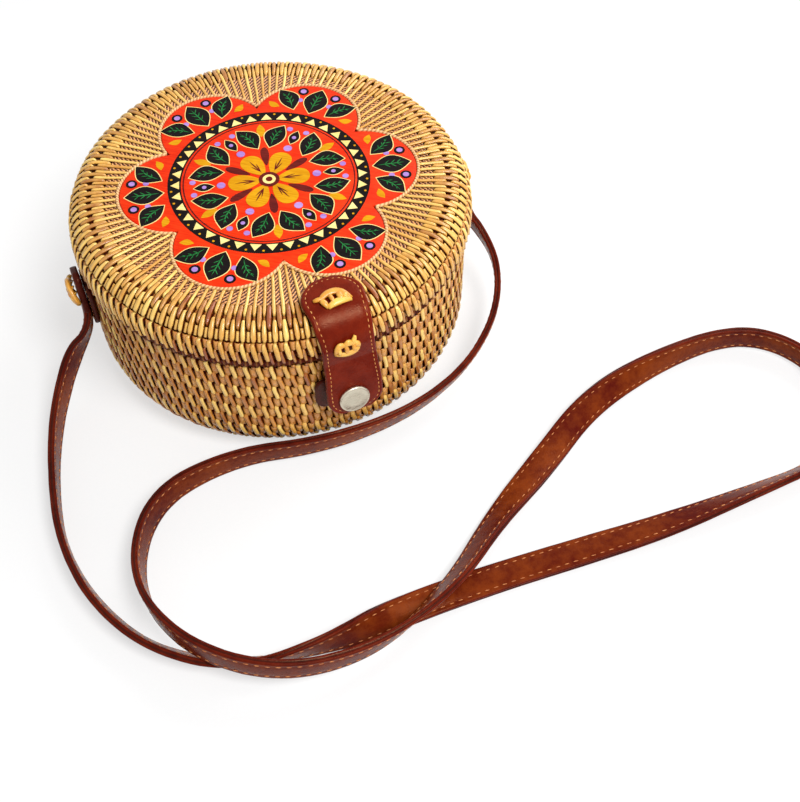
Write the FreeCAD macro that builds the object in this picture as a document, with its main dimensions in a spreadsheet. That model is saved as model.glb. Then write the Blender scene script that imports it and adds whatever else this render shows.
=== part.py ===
import FreeCAD, Part
import math
import os
import re

import Sketcher
from FreeCAD import Placement, Rotation, Vector

# A round rattan shoulder bag: a woven base and lid joined by a leather hinge at the back, closed by a
# leather flap with a snap at the front, with a painted wooden plaque in the lid and a leather strap.
# Millimetres and degrees. The origin is the middle of the flat bottom, -Y is the front, +Z is up.

doc = FreeCAD.newDocument("circle_bag")
sizes = doc.addObject("Spreadsheet::Sheet", "Sizes")

driving_sizes = {
    # woven basket
    "lid_radius": 90, "lid_overhang": 2.4, "lid_height": 22.6, "lid_edge": 13,
    "base_height": 64, "base_edge": 20, "seam_gap": 0.6, "weave": 4,
    # main relief of the weave: furrows between its rows, and ribs on the sunken ground around the plaque
    "row_first": 8.6, "row_pitch": 6.9, "row_groove": 1.1, "ground_inset": 16, "ground_drop": 0.9,
    "rib_width": 1.8, "rim_row_upper": 2.3, "rim_row_middle": 13.9, "rim_row_lower": 25,
    # clearances: between soft neighbours, between seated pieces, and past the end of every cut
    "fit_gap": 0.3, "seat_gap": 0.1, "overrun": 2,
    # canes that stiffen the two mouths, and the cloth linings
    "cane_width": 3, "cane_depth": 4.5, "lining": 1, "lining_drop": 0.5, "tie_room": 2.8,
    "base_lining_edge": 11, "lid_lining_edge": 8,
    # painted plaque and the coiled cord around it
    "lobe_radius": 24.2, "lobe_reach": 41.5, "plaque_angle": 47.2, "plaque_thick": 2.8,
    "coil_width": 2, "coil_rise": 0.6,
    # closure flap: the part held by the lid, and the tongue that lifts
    "flap_width": 25.2, "flap_thick": 2.6, "flap_reach": 24, "flap_corner": 10,
    "flap_fold_rise": 2, "flap_drop": 31, "flap_lean": 7.4, "tongue_corner": 9, "fold_gap": 1.9,
    # snap fastener
    "snap_drop": 22.2, "cap_radius": 6.8, "cap_rim": 0.6, "cap_rise": 1.5, "cap_crown": 5.4,
    "post_radius": 2, "socket_radius": 4.8, "socket_bore": 3.1, "socket_flange": 0.5, "socket_depth": 1.9,
    "stud_base": 4.4, "stud_flange": 0.5, "stud_neck": 1.9, "stud_waist": 1.2, "stud_head": 2.5,
    "stud_height": 2.2, "rivet_radius": 3.5, "rivet_thick": 0.5, "rivet_post": 1.2,
    # catch patch on the base, behind the tongue
    "patch_width": 29.5, "patch_height": 18, "patch_thick": 1.8, "patch_gap": 0.7, "patch_corner": 5,
    # side tabs and the ends of the shoulder strap
    "tab_width": 18, "tab_height": 24, "tab_thick": 2.2, "tab_corner": 4, "tab_drop": 6,
    "strap_width": 13, "strap_thick": 3, "strap_gap": 0.4,
    "strap_end_above": 11, "strap_end_below": 8.5, "strap_end_corner": 4,
    "left_strap_lean": 12, "right_strap_lean": 35,
    # rear leather hinge
    "hinge_width": 26, "hinge_thick": 2.4, "hinge_rise": 10.5, "hinge_drop": 30, "hinge_corner": 5,
    "hinge_fold_gap": 1.8,
    # rattan knots, and the ties that hold them
    "knot_rise": 3.2, "low_knot_rise": 1.2, "knot_crown_share": 0.62,
    "tie_radius": 0.9, "tie_bar": 1.8, "tie_clear": 0.15, "tie_spread_share": 0.5,
    "top_knot_across": 18, "top_knot_along": 9, "top_knot_inset": 14,
    "front_knot_across": 12, "front_knot_along": 10, "front_knot_rise": 7,
    "strap_knot_across": 13, "strap_knot_along": 12,
    "patch_knot_across": 10, "patch_knot_along": 3.4, "patch_knot_lift": 7,
    "upper_knot_across": 12, "upper_knot_along": 5, "upper_knot_rise": 6.4,
    "lower_knot_across": 16, "lower_knot_along": 9, "lower_knot_drop": 15,
}
for row, (alias, value) in enumerate(driving_sizes.items(), start=1):
    sizes.set(f"A{row}", alias)
    sizes.set(f"B{row}", str(value))
    sizes.setAlias(f"B{row}", alias)
doc.recompute()

# Lengths and angles that several pieces share, each written once in the names of the sheet.
shared_lengths = {
    "base_radius": "(lid_radius - lid_overhang)",
    "base_bore": "(lid_radius - lid_overhang - weave)",
    "lid_bore": "(lid_radius - weave)",
    "lid_low": "(base_height + seam_gap)",
    "lid_top": "(base_height + seam_gap + lid_height)",
    "ground_radius": "(lid_radius - ground_inset)",
    "base_cloth_radius": "(lid_radius - lid_overhang - weave - seat_gap - cane_width - fit_gap)",
    "lid_cloth_radius": "(lid_radius - weave - seat_gap - cane_width - fit_gap)",
    "base_cloth_floor": "(weave + fit_gap)",
    "lid_cloth_top": "(base_height + seam_gap + lid_height - weave - tie_room)",
    "fold_y": "(lid_radius + fit_gap + flap_thick / 2)",
    "fold_z": "(base_height + seam_gap + flap_fold_rise)",
    "snap_z": "(base_height + seam_gap + flap_fold_rise - snap_drop * cos(flap_lean)"
              " - flap_thick * sin(flap_lean))",
    "hinge_y": "(lid_radius + fit_gap + hinge_thick / 2)",
    "hinge_z": "(base_height + seam_gap / 2)",
    "hinge_tilt": "asin(lid_overhang / hinge_drop)",
    "patch_face": "(lid_radius - lid_overhang + patch_gap + patch_thick)",
    "strap_face": "(lid_radius + strap_gap + strap_thick)",
    # the strap's knots, leaning, clear the cane in the base's mouth with the bars of their ties
    "strap_knot_z": "(base_height - cane_depth - seat_gap - fit_gap - tie_radius * cos(right_strap_lean)"
                    " - (strap_knot_across * tie_spread_share / 2 + tie_radius) * sin(right_strap_lean))",
}
side_rows, edge_rows, ground_ribs = 6, 4, 36
pieces = []


def size(name):
    return float(sizes.get(name))


def formula(text):
    """A formula in plain size names, made to read the sheet."""
    for name, meaning in shared_lengths.items():
        text = re.sub(rf"\b{name}\b", meaning, text)
    return re.sub(r"[a-z_]+", lambda m: f"Sizes.{m[0]}" if m[0] in driving_sizes else m[0], text)


def bind(piece, **formulas):
    for prop, text in formulas.items():
        piece.setExpression(prop, formula(text))
    return piece


def place(piece, x="0", y="0", z="0", turn=Rotation()):
    """Give a piece its turn, and bind its place to the sheet."""
    piece.Placement = Placement(Vector(), turn)
    for axis, text in zip("xyz", (x, y, z)):
        piece.setExpression(f"Placement.Base.{axis}", formula(text))
    return piece


def named(piece, label):
    piece.Label = label
    pieces.append(piece)
    return piece


# Turns that carry a local frame, x across, y up and z outward, onto a side of the bag.
front = Rotation(Vector(1, 0, 0), 90)
back = Rotation(Vector(0, 0, 1), 180) * front
right = Rotation(Vector(0, 0, 1), 90) * front
left = Rotation(Vector(0, 0, 1), -90) * front
tongue_turn = Rotation(Vector(1, 0, 0), 90 - size("flap_lean"))
hinge_tilt = math.degrees(math.asin(size("lid_overhang") / size("hinge_drop")))
leaf_turn = Rotation(Vector(0, 0, 1), 180) * Rotation(Vector(1, 0, 0), 90 + hinge_tilt)
# A cylinder turned this way lies along X, with its angle counted from the front up to the top.
lying = Rotation(Vector(0, -1, 0), Vector(0, 0, 1), Vector(-1, 0, 0), "ZXY")


def outlined_body(name, plane, outline):
    """A body with one closed outline, every corner bound to the sheet."""
    body = doc.addObject("PartDesign::Body", name)
    sketch = body.newObject("Sketcher::SketchObject", f"{name}_outline")
    support = next(o for o in body.Origin.OriginFeatures if o.Role == plane)
    sketch.AttachmentSupport = [(support, "")]
    sketch.MapMode = "FlatFace"
    count = len(outline)
    angles = [2 * math.pi * k / count for k in range(count)]
    start = [Vector(math.cos(angle), math.sin(angle), 0) for angle in angles]
    for k in range(count):
        sketch.addGeometry(Part.LineSegment(start[k], start[(k + 1) % count]), False)
    for k in range(count):
        sketch.addConstraint(Sketcher.Constraint("Coincident", k, 2, (k + 1) % count, 1))
    for k, corner in enumerate(outline):
        for kind, axis, text in zip(("DistanceX", "DistanceY"), (-2, -1), corner):
            if text == "0":
                sketch.addConstraint(Sketcher.Constraint("PointOnObject", k, 1, axis))
                continue
            ends = (k, 1, -1, 1) if text.startswith("-") else (-1, 1, k, 1)
            index = sketch.addConstraint(Sketcher.Constraint(kind, *ends, 1.0))
            sketch.setExpression(f"Constraints[{index}]", formula(text.removeprefix("-")))
    doc.recompute()
    return body, sketch


def turned(name, profile):
    """A body turned about its own Z axis from (radius, height) corners."""
    body, sketch = outlined_body(name, "XZ_Plane", profile)
    revolution = body.newObject("PartDesign::Revolution", f"{name}_turning")
    revolution.Profile = sketch
    revolution.ReferenceAxis = (sketch, ["V_Axis"])
    revolution.Angle = 360
    doc.recompute()
    return body


def rounded(body, picked, radius):
    """Round the picked edges of a body's last feature."""
    last = body.Tip
    edges = [f"Edge{k}" for k, edge in enumerate(last.Shape.Edges, start=1) if picked(edge)]
    fillet = body.newObject("PartDesign::Fillet", f"{body.Name}_rounding")
    fillet.Base = (last, edges)
    bind(fillet, Radius=radius)
    doc.recompute()
    return body


def widest_at(body, top):
    """Picks the widest round edge at a turned body's top or bottom."""
    span = body.Tip.Shape.BoundBox
    level = span.ZMax if top else span.ZMin

    def at_level(edge):
        return max(abs(edge.BoundBox.ZMax - level), abs(edge.BoundBox.ZMin - level)) < size("seat_gap")

    widest = max(filter(at_level, body.Tip.Shape.Edges), key=lambda edge: edge.BoundBox.XLength)
    return lambda edge: edge.isSame(widest)


def shell(name, profile, top, outer_edge, wall):
    """A turned cup or cap with its closed end rounded outside and inside, by radii that share a centre."""
    body = turned(name, profile)
    rounded(body, widest_at(body, top), outer_edge)
    height = body.Tip.Shape.BoundBox.ZMax if top else body.Tip.Shape.BoundBox.ZMin
    floor = height - size(wall) if top else height + size(wall)

    def inner_rim(edge):
        flat = edge.BoundBox.ZLength < size("seat_gap")
        return flat and abs(edge.BoundBox.ZMax - floor) < size("seat_gap")

    return rounded(body, inner_rim, f"{outer_edge} - {wall}")


def plate(name, across, low, high, thick, corner, ends):
    """A leather plate: x across, y from low to high, z from 0 to thick, rounded at the ends named."""
    half = f"({across}) / 2"
    outline = [(f"-{half}", low), (half, low), (half, high), (f"-{half}", high)]
    body, sketch = outlined_body(name, "XY_Plane", outline)
    pad = body.newObject("PartDesign::Pad", f"{name}_pad")
    pad.Profile = sketch
    bind(pad, Length=thick)
    doc.recompute()
    reach = {"low": pad.Shape.BoundBox.YMin, "high": pad.Shape.BoundBox.YMax}

    def corner_edge(edge):
        span = edge.BoundBox
        upright = max(span.XLength, span.YLength) < size("seat_gap")
        return upright and any(abs(span.YMin - reach[end]) < size("seat_gap") for end in ends)

    return rounded(body, corner_edge, corner)


def cylinder(name, radius, height, angle="360"):
    return bind(doc.addObject("Part::Cylinder", name), Radius=radius, Height=height, Angle=angle)


def box(name, length, width, height):
    return bind(doc.addObject("Part::Box", name), Length=length, Width=width, Height=height)


def fused(name, parts):
    fusion = doc.addObject("Part::MultiFuse", name)
    fusion.Shapes = parts
    return fusion


def cut(name, base, tool):
    result = doc.addObject("Part::Cut", name)
    result.Base = base
    result.Tool = tool
    return result


def drilled(name, piece, drills):
    return cut(name, piece, fused(f"{name}_drills", drills))


def tube(name, outer, inner, height):
    """A ring standing on its local origin."""
    bore = cylinder(f"{name}_bore", inner, f"{height} + 2 * overrun")
    return cut(name, cylinder(f"{name}_disc", outer, height), place(bore, z="-overrun"))


def furrow(name, radius, level):
    """The ring that cuts a round furrow between two rows of the weave."""
    return place(bind(doc.addObject("Part::Torus", name), Radius1=radius, Radius2="row_groove"), z=level)


def wall_leather(name, across, tall, corner, gap, thick, x, y, z, turn):
    """A leather piece bent to the base: a plate's outline kept where it meets a ring round the wall."""
    depth = f"{gap} + {thick} + 3 * overrun"
    blank = plate(f"{name}_blank", across, f"-({tall}) / 2", f"({tall}) / 2", depth, corner, ("low", "high"))
    place(blank, x, y, z, turn)
    bent = doc.addObject("Part::Common", f"{name}_bent")
    bent.Base = blank
    bent.Tool = tube(f"{name}_ring", f"base_radius + {gap} + {thick}", f"base_radius + {gap}", "base_height")
    return bent


def lobed(name, radius, height):
    """Six round lobes around a middle disc, turned as they lie in the lid."""
    lobes = [cylinder(f"{name}_middle", "lobe_reach", height)]
    for k in range(6):
        angle = f"plaque_angle + {k} * 60"
        lobe = cylinder(f"{name}_lobe_{k}", radius, height)
        lobes.append(place(lobe, f"lobe_reach * cos({angle})", f"lobe_reach * sin({angle})"))
    shape = fused(name, lobes)
    shape.Refine = True
    return shape


def rattan_knot(label, across, along, rise, reach, spot, turn):
    """A knot head, two ties through leather and wall, and the bar that joins them on the inside.

    Local z is outward from the leather, and reach is the depth from there to the inside of the wall.
    Returns the ties with their clearance, as the drill for the holes that they pass through.
    """
    head = doc.addObject("Part::Wedge", f"{label}_head")
    bind(head, Xmin=f"-{across} / 2", Xmax=f"{across} / 2", Ymin="0", Ymax=rise,
         Zmin=f"-{along} / 2", Zmax=f"{along} / 2",
         X2min=f"-{across} * knot_crown_share / 2", X2max=f"{across} * knot_crown_share / 2",
         Z2min=f"-{along} * knot_crown_share / 2", Z2max=f"{along} * knot_crown_share / 2")
    head.Placement = Placement(Vector(), front)
    spread = f"{across} * tie_spread_share / 2"
    depth = f"-({reach} + tie_bar)"
    ties = []
    holes = []
    for side, sign in (("near", "-"), ("far", "")):
        tie = cylinder(f"{label}_{side}_tie", "tie_radius", f"{reach} + tie_bar + {rise} / 2")
        ties.append(place(tie, x=f"{sign}{spread}", z=depth))
        hole = cylinder(f"{label}_{side}_hole", "tie_radius + tie_clear", f"{reach} + tie_bar + overrun")
        holes.append(place(hole, x=f"{sign}{spread}", z=depth))
    bar = box(f"{label}_bar", f"{across} * tie_spread_share + 2 * tie_radius", "2 * tie_radius", "tie_bar")
    place(bar, f"-({spread} + tie_radius)", "-tie_radius", depth)
    knot = named(fused(f"{label}_tied", [head, *ties, bar]), label)
    drill = fused(f"{label}_drill", holes)
    for piece in (knot, drill):
        place(piece, *spot, turn)
    return drill


# Knots come first, because their ties decide the holes in the leather and in the walls.
through_lid = "flap_thick + weave + 3 * fit_gap"
top_knot = rattan_knot(
    "closure_knot_top", "top_knot_across", "top_knot_along", "knot_rise", through_lid,
    ("0", "-(lid_radius - top_knot_inset)", "lid_top + flap_thick + 2 * fit_gap"), Rotation())
front_knot = rattan_knot(
    "closure_knot_front", "front_knot_across", "front_knot_along", "knot_rise", through_lid,
    ("0", "-(lid_radius + flap_thick + 2 * fit_gap)", "fold_z + front_knot_rise"), front)
patch_knot = rattan_knot(
    "catch_patch_knot", "patch_knot_across", "patch_knot_along", "low_knot_rise",
    "patch_thick + patch_gap + weave + 2 * fit_gap",
    ("0", "-(patch_face + fit_gap)", "snap_z + patch_knot_lift"), front)
upper_knot = rattan_knot(
    "hinge_upper_knot", "upper_knot_across", "upper_knot_along", "knot_rise",
    "hinge_thick + weave + 3 * fit_gap",
    ("0", "lid_radius + hinge_thick + 2 * fit_gap", "hinge_z + upper_knot_rise"), back)
lower_knot = rattan_knot(
    "hinge_lower_knot", "lower_knot_across", "lower_knot_along", "knot_rise",
    "hinge_thick + weave + 3 * fit_gap + lid_overhang * (1 - lower_knot_drop / hinge_drop)",
    ("0",
     "hinge_y - lower_knot_drop * sin(hinge_tilt) + (hinge_thick / 2 + fit_gap) * cos(hinge_tilt)",
     "hinge_z - lower_knot_drop * cos(hinge_tilt) - (hinge_thick / 2 + fit_gap) * sin(hinge_tilt)"),
    leaf_turn)
strap_turns = {
    "left": left * Rotation(Vector(0, 0, 1), size("left_strap_lean")),
    "right": right * Rotation(Vector(0, 0, 1), -size("right_strap_lean")),
}
outward = {"left": "-", "right": ""}
strap_knots = {
    side: rattan_knot(
        f"{side}_strap_knot", "strap_knot_across", "strap_knot_along", "knot_rise",
        "strap_thick + strap_gap + lid_overhang + weave + 2 * fit_gap",
        (f"{outward[side]}(strap_face + fit_gap)", "0", "strap_knot_z"), turn)
    for side, turn in strap_turns.items()}

# Base: woven cup, the cane in its mouth, and its cloth lining.
base_cup = shell("base_cup", [
    ("0", "0"), ("base_radius", "0"), ("base_radius", "base_height"), ("base_bore", "base_height"),
    ("base_bore", "weave"), ("0", "weave")], False, "base_edge", "weave")
base_furrows = []
for k in range(side_rows + edge_rows):
    run = f"(row_first + {k} * row_pitch)"
    bend = f"(({run} - base_height + base_edge) / base_edge * 180 / pi)"
    if k < side_rows:
        base_furrows.append(furrow(f"base_row_{k}", "base_radius", f"base_height - {run}"))
    else:
        base_furrows.append(furrow(f"base_row_{k}", f"base_radius - base_edge + base_edge * cos({bend})",
                                   f"base_edge - base_edge * sin({bend})"))
base_rows = drilled("base_rows", base_cup, base_furrows)
named(drilled("base_woven", base_rows, [patch_knot, lower_knot, *strap_knots.values()]), "base_basket")
base_cane = tube("base_cane", "base_bore - seat_gap", "base_bore - seat_gap - cane_width", "cane_depth")
named(place(base_cane, z="base_height - cane_depth - seat_gap"), "base_rim_cane")
base_cloth = shell("base_cloth", [
    ("0", "base_cloth_floor"), ("base_cloth_radius", "base_cloth_floor"),
    ("base_cloth_radius", "base_height - lining_drop"),
    ("base_cloth_radius - lining", "base_height - lining_drop"),
    ("base_cloth_radius - lining", "base_cloth_floor + lining"), ("0", "base_cloth_floor + lining")],
    False, "base_lining_edge", "lining")
named(base_cloth, "base_lining")

# Lid: woven cap with a lobed seat for the plaque, the cane in its mouth, and its cloth lining.
lid_cap = shell("lid_cap", [
    ("0", "lid_top"), ("lid_radius", "lid_top"), ("lid_radius", "lid_low"), ("lid_bore", "lid_low"),
    ("lid_bore", "lid_top - weave"), ("0", "lid_top - weave")], True, "lid_edge", "weave")
seat_radius = "lobe_radius + coil_width + 2 * seat_gap"
plaque_seat = lobed("plaque_seat", seat_radius, "plaque_thick + seat_gap + overrun")
place(plaque_seat, z="lid_top - plaque_thick - seat_gap")
ground = tube("ground", "ground_radius", "lobe_reach", "ground_drop + overrun")
lid_sunken = cut("lid_sunken", lid_cap, place(ground, z="lid_top - ground_drop"))
ribs = []
for k in range(ground_ribs):
    angle = f"({k} * 360 / {ground_ribs})"
    rib = box(f"rib_{k}", "ground_radius - lobe_reach + overrun", "rib_width", "ground_drop + seat_gap")
    ribs.append(place(rib, f"lobe_reach * cos({angle}) + rib_width / 2 * sin({angle})",
                      f"lobe_reach * sin({angle}) - rib_width / 2 * cos({angle})",
                      "lid_top - ground_drop - seat_gap", Rotation(Vector(0, 0, 1), 360 * k / ground_ribs)))
lid_ribbed = fused("lid_ribbed", [lid_sunken, *ribs])
lid_ribbed.Refine = True
rim_furrows = []
for name in ("upper", "middle"):
    bend = f"(rim_row_{name} / lid_edge * 180 / pi)"
    rim_furrows.append(furrow(f"rim_{name}", f"lid_radius - lid_edge + lid_edge * sin({bend})",
                              f"lid_top - lid_edge + lid_edge * cos({bend})"))
rim_furrows.append(furrow("rim_lower", "lid_radius",
                          "lid_top - lid_edge - rim_row_lower + lid_edge * pi / 2"))
lid_rows = drilled("lid_rows", lid_ribbed, rim_furrows)
lid_seated = cut("lid_seated", lid_rows, plaque_seat)
named(drilled("lid_woven", lid_seated, [top_knot, front_knot, upper_knot]), "lid_basket")
lid_cane = tube("lid_cane", "lid_bore - seat_gap", "lid_bore - seat_gap - cane_width", "cane_depth")
named(place(lid_cane, z="lid_low + seat_gap"), "lid_rim_cane")
lid_cloth = shell("lid_cloth", [
    ("0", "lid_cloth_top"), ("lid_cloth_radius", "lid_cloth_top"),
    ("lid_cloth_radius", "lid_low + lining_drop"), ("lid_cloth_radius - lining", "lid_low + lining_drop"),
    ("lid_cloth_radius - lining", "lid_cloth_top - lining"), ("0", "lid_cloth_top - lining")],
    True, "lid_lining_edge", "lining")
named(lid_cloth, "lid_lining")
plaque = lobed("plaque_board", "lobe_radius", "plaque_thick")
named(place(plaque, z="lid_top - plaque_thick"), "painted_plaque")
coil_outer = lobed("coil_outer", "lobe_radius + coil_width + seat_gap", "plaque_thick + coil_rise")
coil_inner = lobed("coil_inner", "lobe_radius + seat_gap", "plaque_thick + coil_rise + 2 * overrun")
coil = cut("coil_band", coil_outer, place(coil_inner, z="-overrun"))
named(place(coil, z="lid_top - plaque_thick"), "plaque_edge_coil")

# Closure flap: over the lid's edge and down to the fold, where it ends in a round.
flap_head = plate("flap_head", "flap_width", "0", "flap_reach - lid_edge", "flap_thick", "flap_corner",
                  ("high",))
place(flap_head, y="-(lid_radius - lid_edge)", z="lid_top + fit_gap")
bend_outer = cylinder("bend_outer", "lid_edge + fit_gap + flap_thick", "flap_width", "90")
bend_inner = cylinder("bend_inner", "lid_edge + fit_gap", "flap_width + 2 * overrun")
flap_bend = cut("flap_bend", bend_outer, place(bend_inner, z="-overrun"))
place(flap_bend, "flap_width / 2", "-(lid_radius - lid_edge)", "lid_top - lid_edge", lying)
flap_side = box("flap_side", "flap_width", "flap_thick", "lid_top - lid_edge - fold_z")
place(flap_side, "-flap_width / 2", "-(lid_radius + fit_gap + flap_thick)", "fold_z")
flap_round = cylinder("flap_round", "flap_thick / 2", "flap_width")
place(flap_round, "flap_width / 2", "-fold_y", "fold_z", lying)
flap_held = fused("flap_held", [flap_head, flap_bend, flap_side, flap_round])
named(drilled("flap_anchor", flap_held, [top_knot, front_knot]), "closure_flap_anchor")


def on_tongue(depth):
    """The place of the snap's axis on the tongue, at a depth outward from the middle of the leather."""
    return ("0", f"-fold_y - snap_drop * sin(flap_lean) - ({depth}) * cos(flap_lean)",
            f"fold_z - snap_drop * cos(flap_lean) + ({depth}) * sin(flap_lean)")


# Tongue: hangs from the fold, leaning out over the snap, and carries the cap and the socket.
tongue = plate("tongue", "flap_width", "-flap_drop", "-fold_gap", "flap_thick", "tongue_corner", ("low",))
place(tongue, "0", "-fold_y + flap_thick / 2 * cos(flap_lean)", "fold_z - flap_thick / 2 * sin(flap_lean)",
      tongue_turn)
snap_hole = cylinder("snap_hole", "post_radius + seat_gap", "flap_thick + 2 * overrun")
place(snap_hole, *on_tongue("-flap_thick / 2 - overrun"), tongue_turn)
named(cut("tongue_holed", tongue, snap_hole), "closure_flap_tongue")
cap_seat = "flap_thick + socket_flange"
snap_cap = turned("cap", [
    ("0", "0"), ("post_radius", "0"), ("post_radius", cap_seat), ("cap_radius", cap_seat),
    ("cap_radius", f"{cap_seat} + cap_rim"), ("cap_crown", f"{cap_seat} + cap_rise"),
    ("0", f"{cap_seat} + cap_rise")])
named(place(snap_cap, *on_tongue("-flap_thick / 2 - socket_flange"), tongue_turn), "snap_cap")
snap_socket = turned("socket", [
    ("socket_bore", "0"), ("socket_radius", "0"), ("socket_radius", "socket_depth"),
    ("post_radius + seat_gap", "socket_depth"), ("post_radius + seat_gap", "socket_depth - socket_flange"),
    ("socket_bore", "socket_depth - socket_flange")])
named(place(snap_socket, *on_tongue("-flap_thick / 2 - socket_depth"), tongue_turn), "snap_socket")

# Catch: a leather patch on the base with the snap's stud, riveted through it.
patch = wall_leather("patch", "patch_width", "patch_height", "patch_corner", "patch_gap", "patch_thick",
                     "0", "-(base_radius - 2 * overrun)", "snap_z", front)
rivet_hole = cylinder("rivet_hole", "rivet_post + seat_gap", "patch_thick + 2 * overrun")
place(rivet_hole, "0", "-(patch_face - patch_thick - overrun)", "snap_z", front)
named(drilled("patch_holed", patch, [patch_knot, rivet_hole]), "catch_patch")
rivet_bore = "rivet_post + seat_gap"
snap_stud = turned("stud", [
    (rivet_bore, "0"), ("stud_base", "0"), ("stud_base", "stud_flange"), ("stud_neck", "stud_flange"),
    ("stud_neck", "stud_waist"), ("stud_head", "stud_waist"), ("stud_head", "stud_height"),
    ("0", "stud_height"), ("0", "stud_waist"), (rivet_bore, "stud_waist")])
named(place(snap_stud, "0", "-patch_face", "snap_z", front), "snap_stud")
rivet_tip = "rivet_thick + patch_thick + stud_waist"
snap_rivet = turned("rivet", [
    ("0", "0"), ("rivet_radius", "0"), ("rivet_radius", "rivet_thick"), ("rivet_post", "rivet_thick"),
    ("rivet_post", rivet_tip), ("0", rivet_tip)])
place(snap_rivet, "0", "-(patch_face - patch_thick - rivet_thick - seat_gap)", "snap_z", front)
named(snap_rivet, "snap_rivet")

# Rear hinge: one leaf on the lid, one on the base, with the fold rounded about the hinge axis.
upper_leaf = plate("upper_leaf", "hinge_width", "hinge_fold_gap", "hinge_rise", "hinge_thick",
                   "hinge_corner", ("high",))
place(upper_leaf, "0", "lid_radius + fit_gap", "hinge_z", back)
named(drilled("upper_leaf_holed", upper_leaf, [upper_knot]), "hinge_upper_leaf")
lower_leaf = plate("lower_leaf", "hinge_width", "-hinge_drop", "0", "hinge_thick", "hinge_corner", ("low",))
place(lower_leaf, "0", "hinge_y - hinge_thick / 2 * cos(hinge_tilt)",
      "hinge_z + hinge_thick / 2 * sin(hinge_tilt)", leaf_turn)
leaf_round = cylinder("leaf_round", "hinge_thick / 2", "hinge_width")
place(leaf_round, "hinge_width / 2", "hinge_y", "hinge_z", lying)
leaf_folded = fused("leaf_folded", [lower_leaf, leaf_round])
named(drilled("lower_leaf_holed", leaf_folded, [lower_knot]), "hinge_lower_leaf")

# Sides: a tab on the wall, and the end of the strap tied over it.
for side, wall_turn in (("left", left), ("right", right)):
    sign = outward[side]
    tab = wall_leather(f"{side}_tab", "tab_width", "tab_height", "tab_corner", "fit_gap", "tab_thick",
                       f"{sign}(base_radius - 2 * overrun)", "0", "strap_knot_z - tab_drop", wall_turn)
    named(drilled(f"{side}_tab_holed", tab, [strap_knots[side]]), f"{side}_strap_tab")
    end = plate(f"{side}_end", "strap_width", "-strap_end_below", "strap_end_above", "strap_thick",
                "strap_end_corner", ("high",))
    place(end, f"{sign}(lid_radius + strap_gap)", "0", "strap_knot_z", strap_turns[side])
    named(drilled(f"{side}_end_holed", end, [strap_knots[side]]), f"{side}_strap_end")

# Shoulder strap: a flat band that lies in a loose loop in front of the bag. Each point has its place and
# the lean of the band there: 0 stands on edge, 90 lies flat, 180 stands on the other edge. Next to the
# two ends the band keeps the lean that it is tied with.
strap_route = [
    (-91.9, -1.8, 47.6, 0), (-91.9, -4.1, 36.8, None), (-102.5, -6, 24.5, None), (-113, -15.5, 12.8, 28),
    (-122.5, -34, 7.6, 8), (-130, -61, 6.8, 10), (-134.5, -92, 6.8, 8), (-129, -125, 6.8, -5),
    (-113, -155, 6.8, -30), (-84, -175, 6.1, -54), (-48, -181, 7.4, 10), (-10, -178, 4.9, 70),
    (30, -178, 2, 88), (68, -181, 2, 92), (107, -185, 4.1, 108), (148, -186, 6.1, 135),
    (188, -186, 6.8, 152), (209, -171, 7.5, 170), (217, -146, 8.5, 175), (209, -121, 8.5, 172),
    (188, -106, 8, 168), (148, -106, 6.9, 150), (109, -113.5, 4.9, 118), (74, -134.5, 2.4, 92),
    (41, -154, 5.4, 75), (10, -179, 13.6, 55), (-29, -193, 11.2, 8), (-70, -190.5, 17, 0),
    (-101, -166, 20.5, 0), (-112, -124, 9, 8), (-93, -86, 6.9, 12), (-53, -78.5, 7, 5),
    (-14, -89.5, 8.5, 0), (25, -90.5, 10.5, 0), (56, -81.5, 13, 0), (79, -66, 16.5, 0),
    (93, -49, 21.5, 0), (99, -32, 27, 0), (97, -18.5, 33.5, 0), (91.9, -10.6, 40.7, None),
    (91.9, -4.9, 48.9, 0),
]
arc_share = 0.45
arc_step = 15


def strap_path(points):
    """Straight runs joined by tangent arcs, each as large as its two runs allow."""
    edges = []
    radii = []
    here = points[0]
    for before, corner, after in zip(points, points[1:], points[2:]):
        coming = (corner - before).normalize()
        going = (after - corner).normalize()
        turn = coming.getAngle(going)
        reach = arc_share * min(before.distanceToPoint(corner), corner.distanceToPoint(after))
        radius = reach / math.tan(turn / 2)
        inward = (going - coming).normalize()
        middle = corner + inward * (radius / math.cos(turn / 2) - radius)
        edges.append(Part.LineSegment(here, corner - coming * reach).toShape())
        edges.append(Part.Arc(corner - coming * reach, middle, corner + going * reach).toShape())
        radii.append(radius)
        here = corner + going * reach
    edges.append(Part.LineSegment(here, points[-1]).toShape())
    print("strap radii:", [round(radius) for radius in radii])
    return edges


def level_normal(tangent):
    """The level direction square to a tangent, on its right."""
    return Vector(tangent.y, -tangent.x, 0).normalize()


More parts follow.
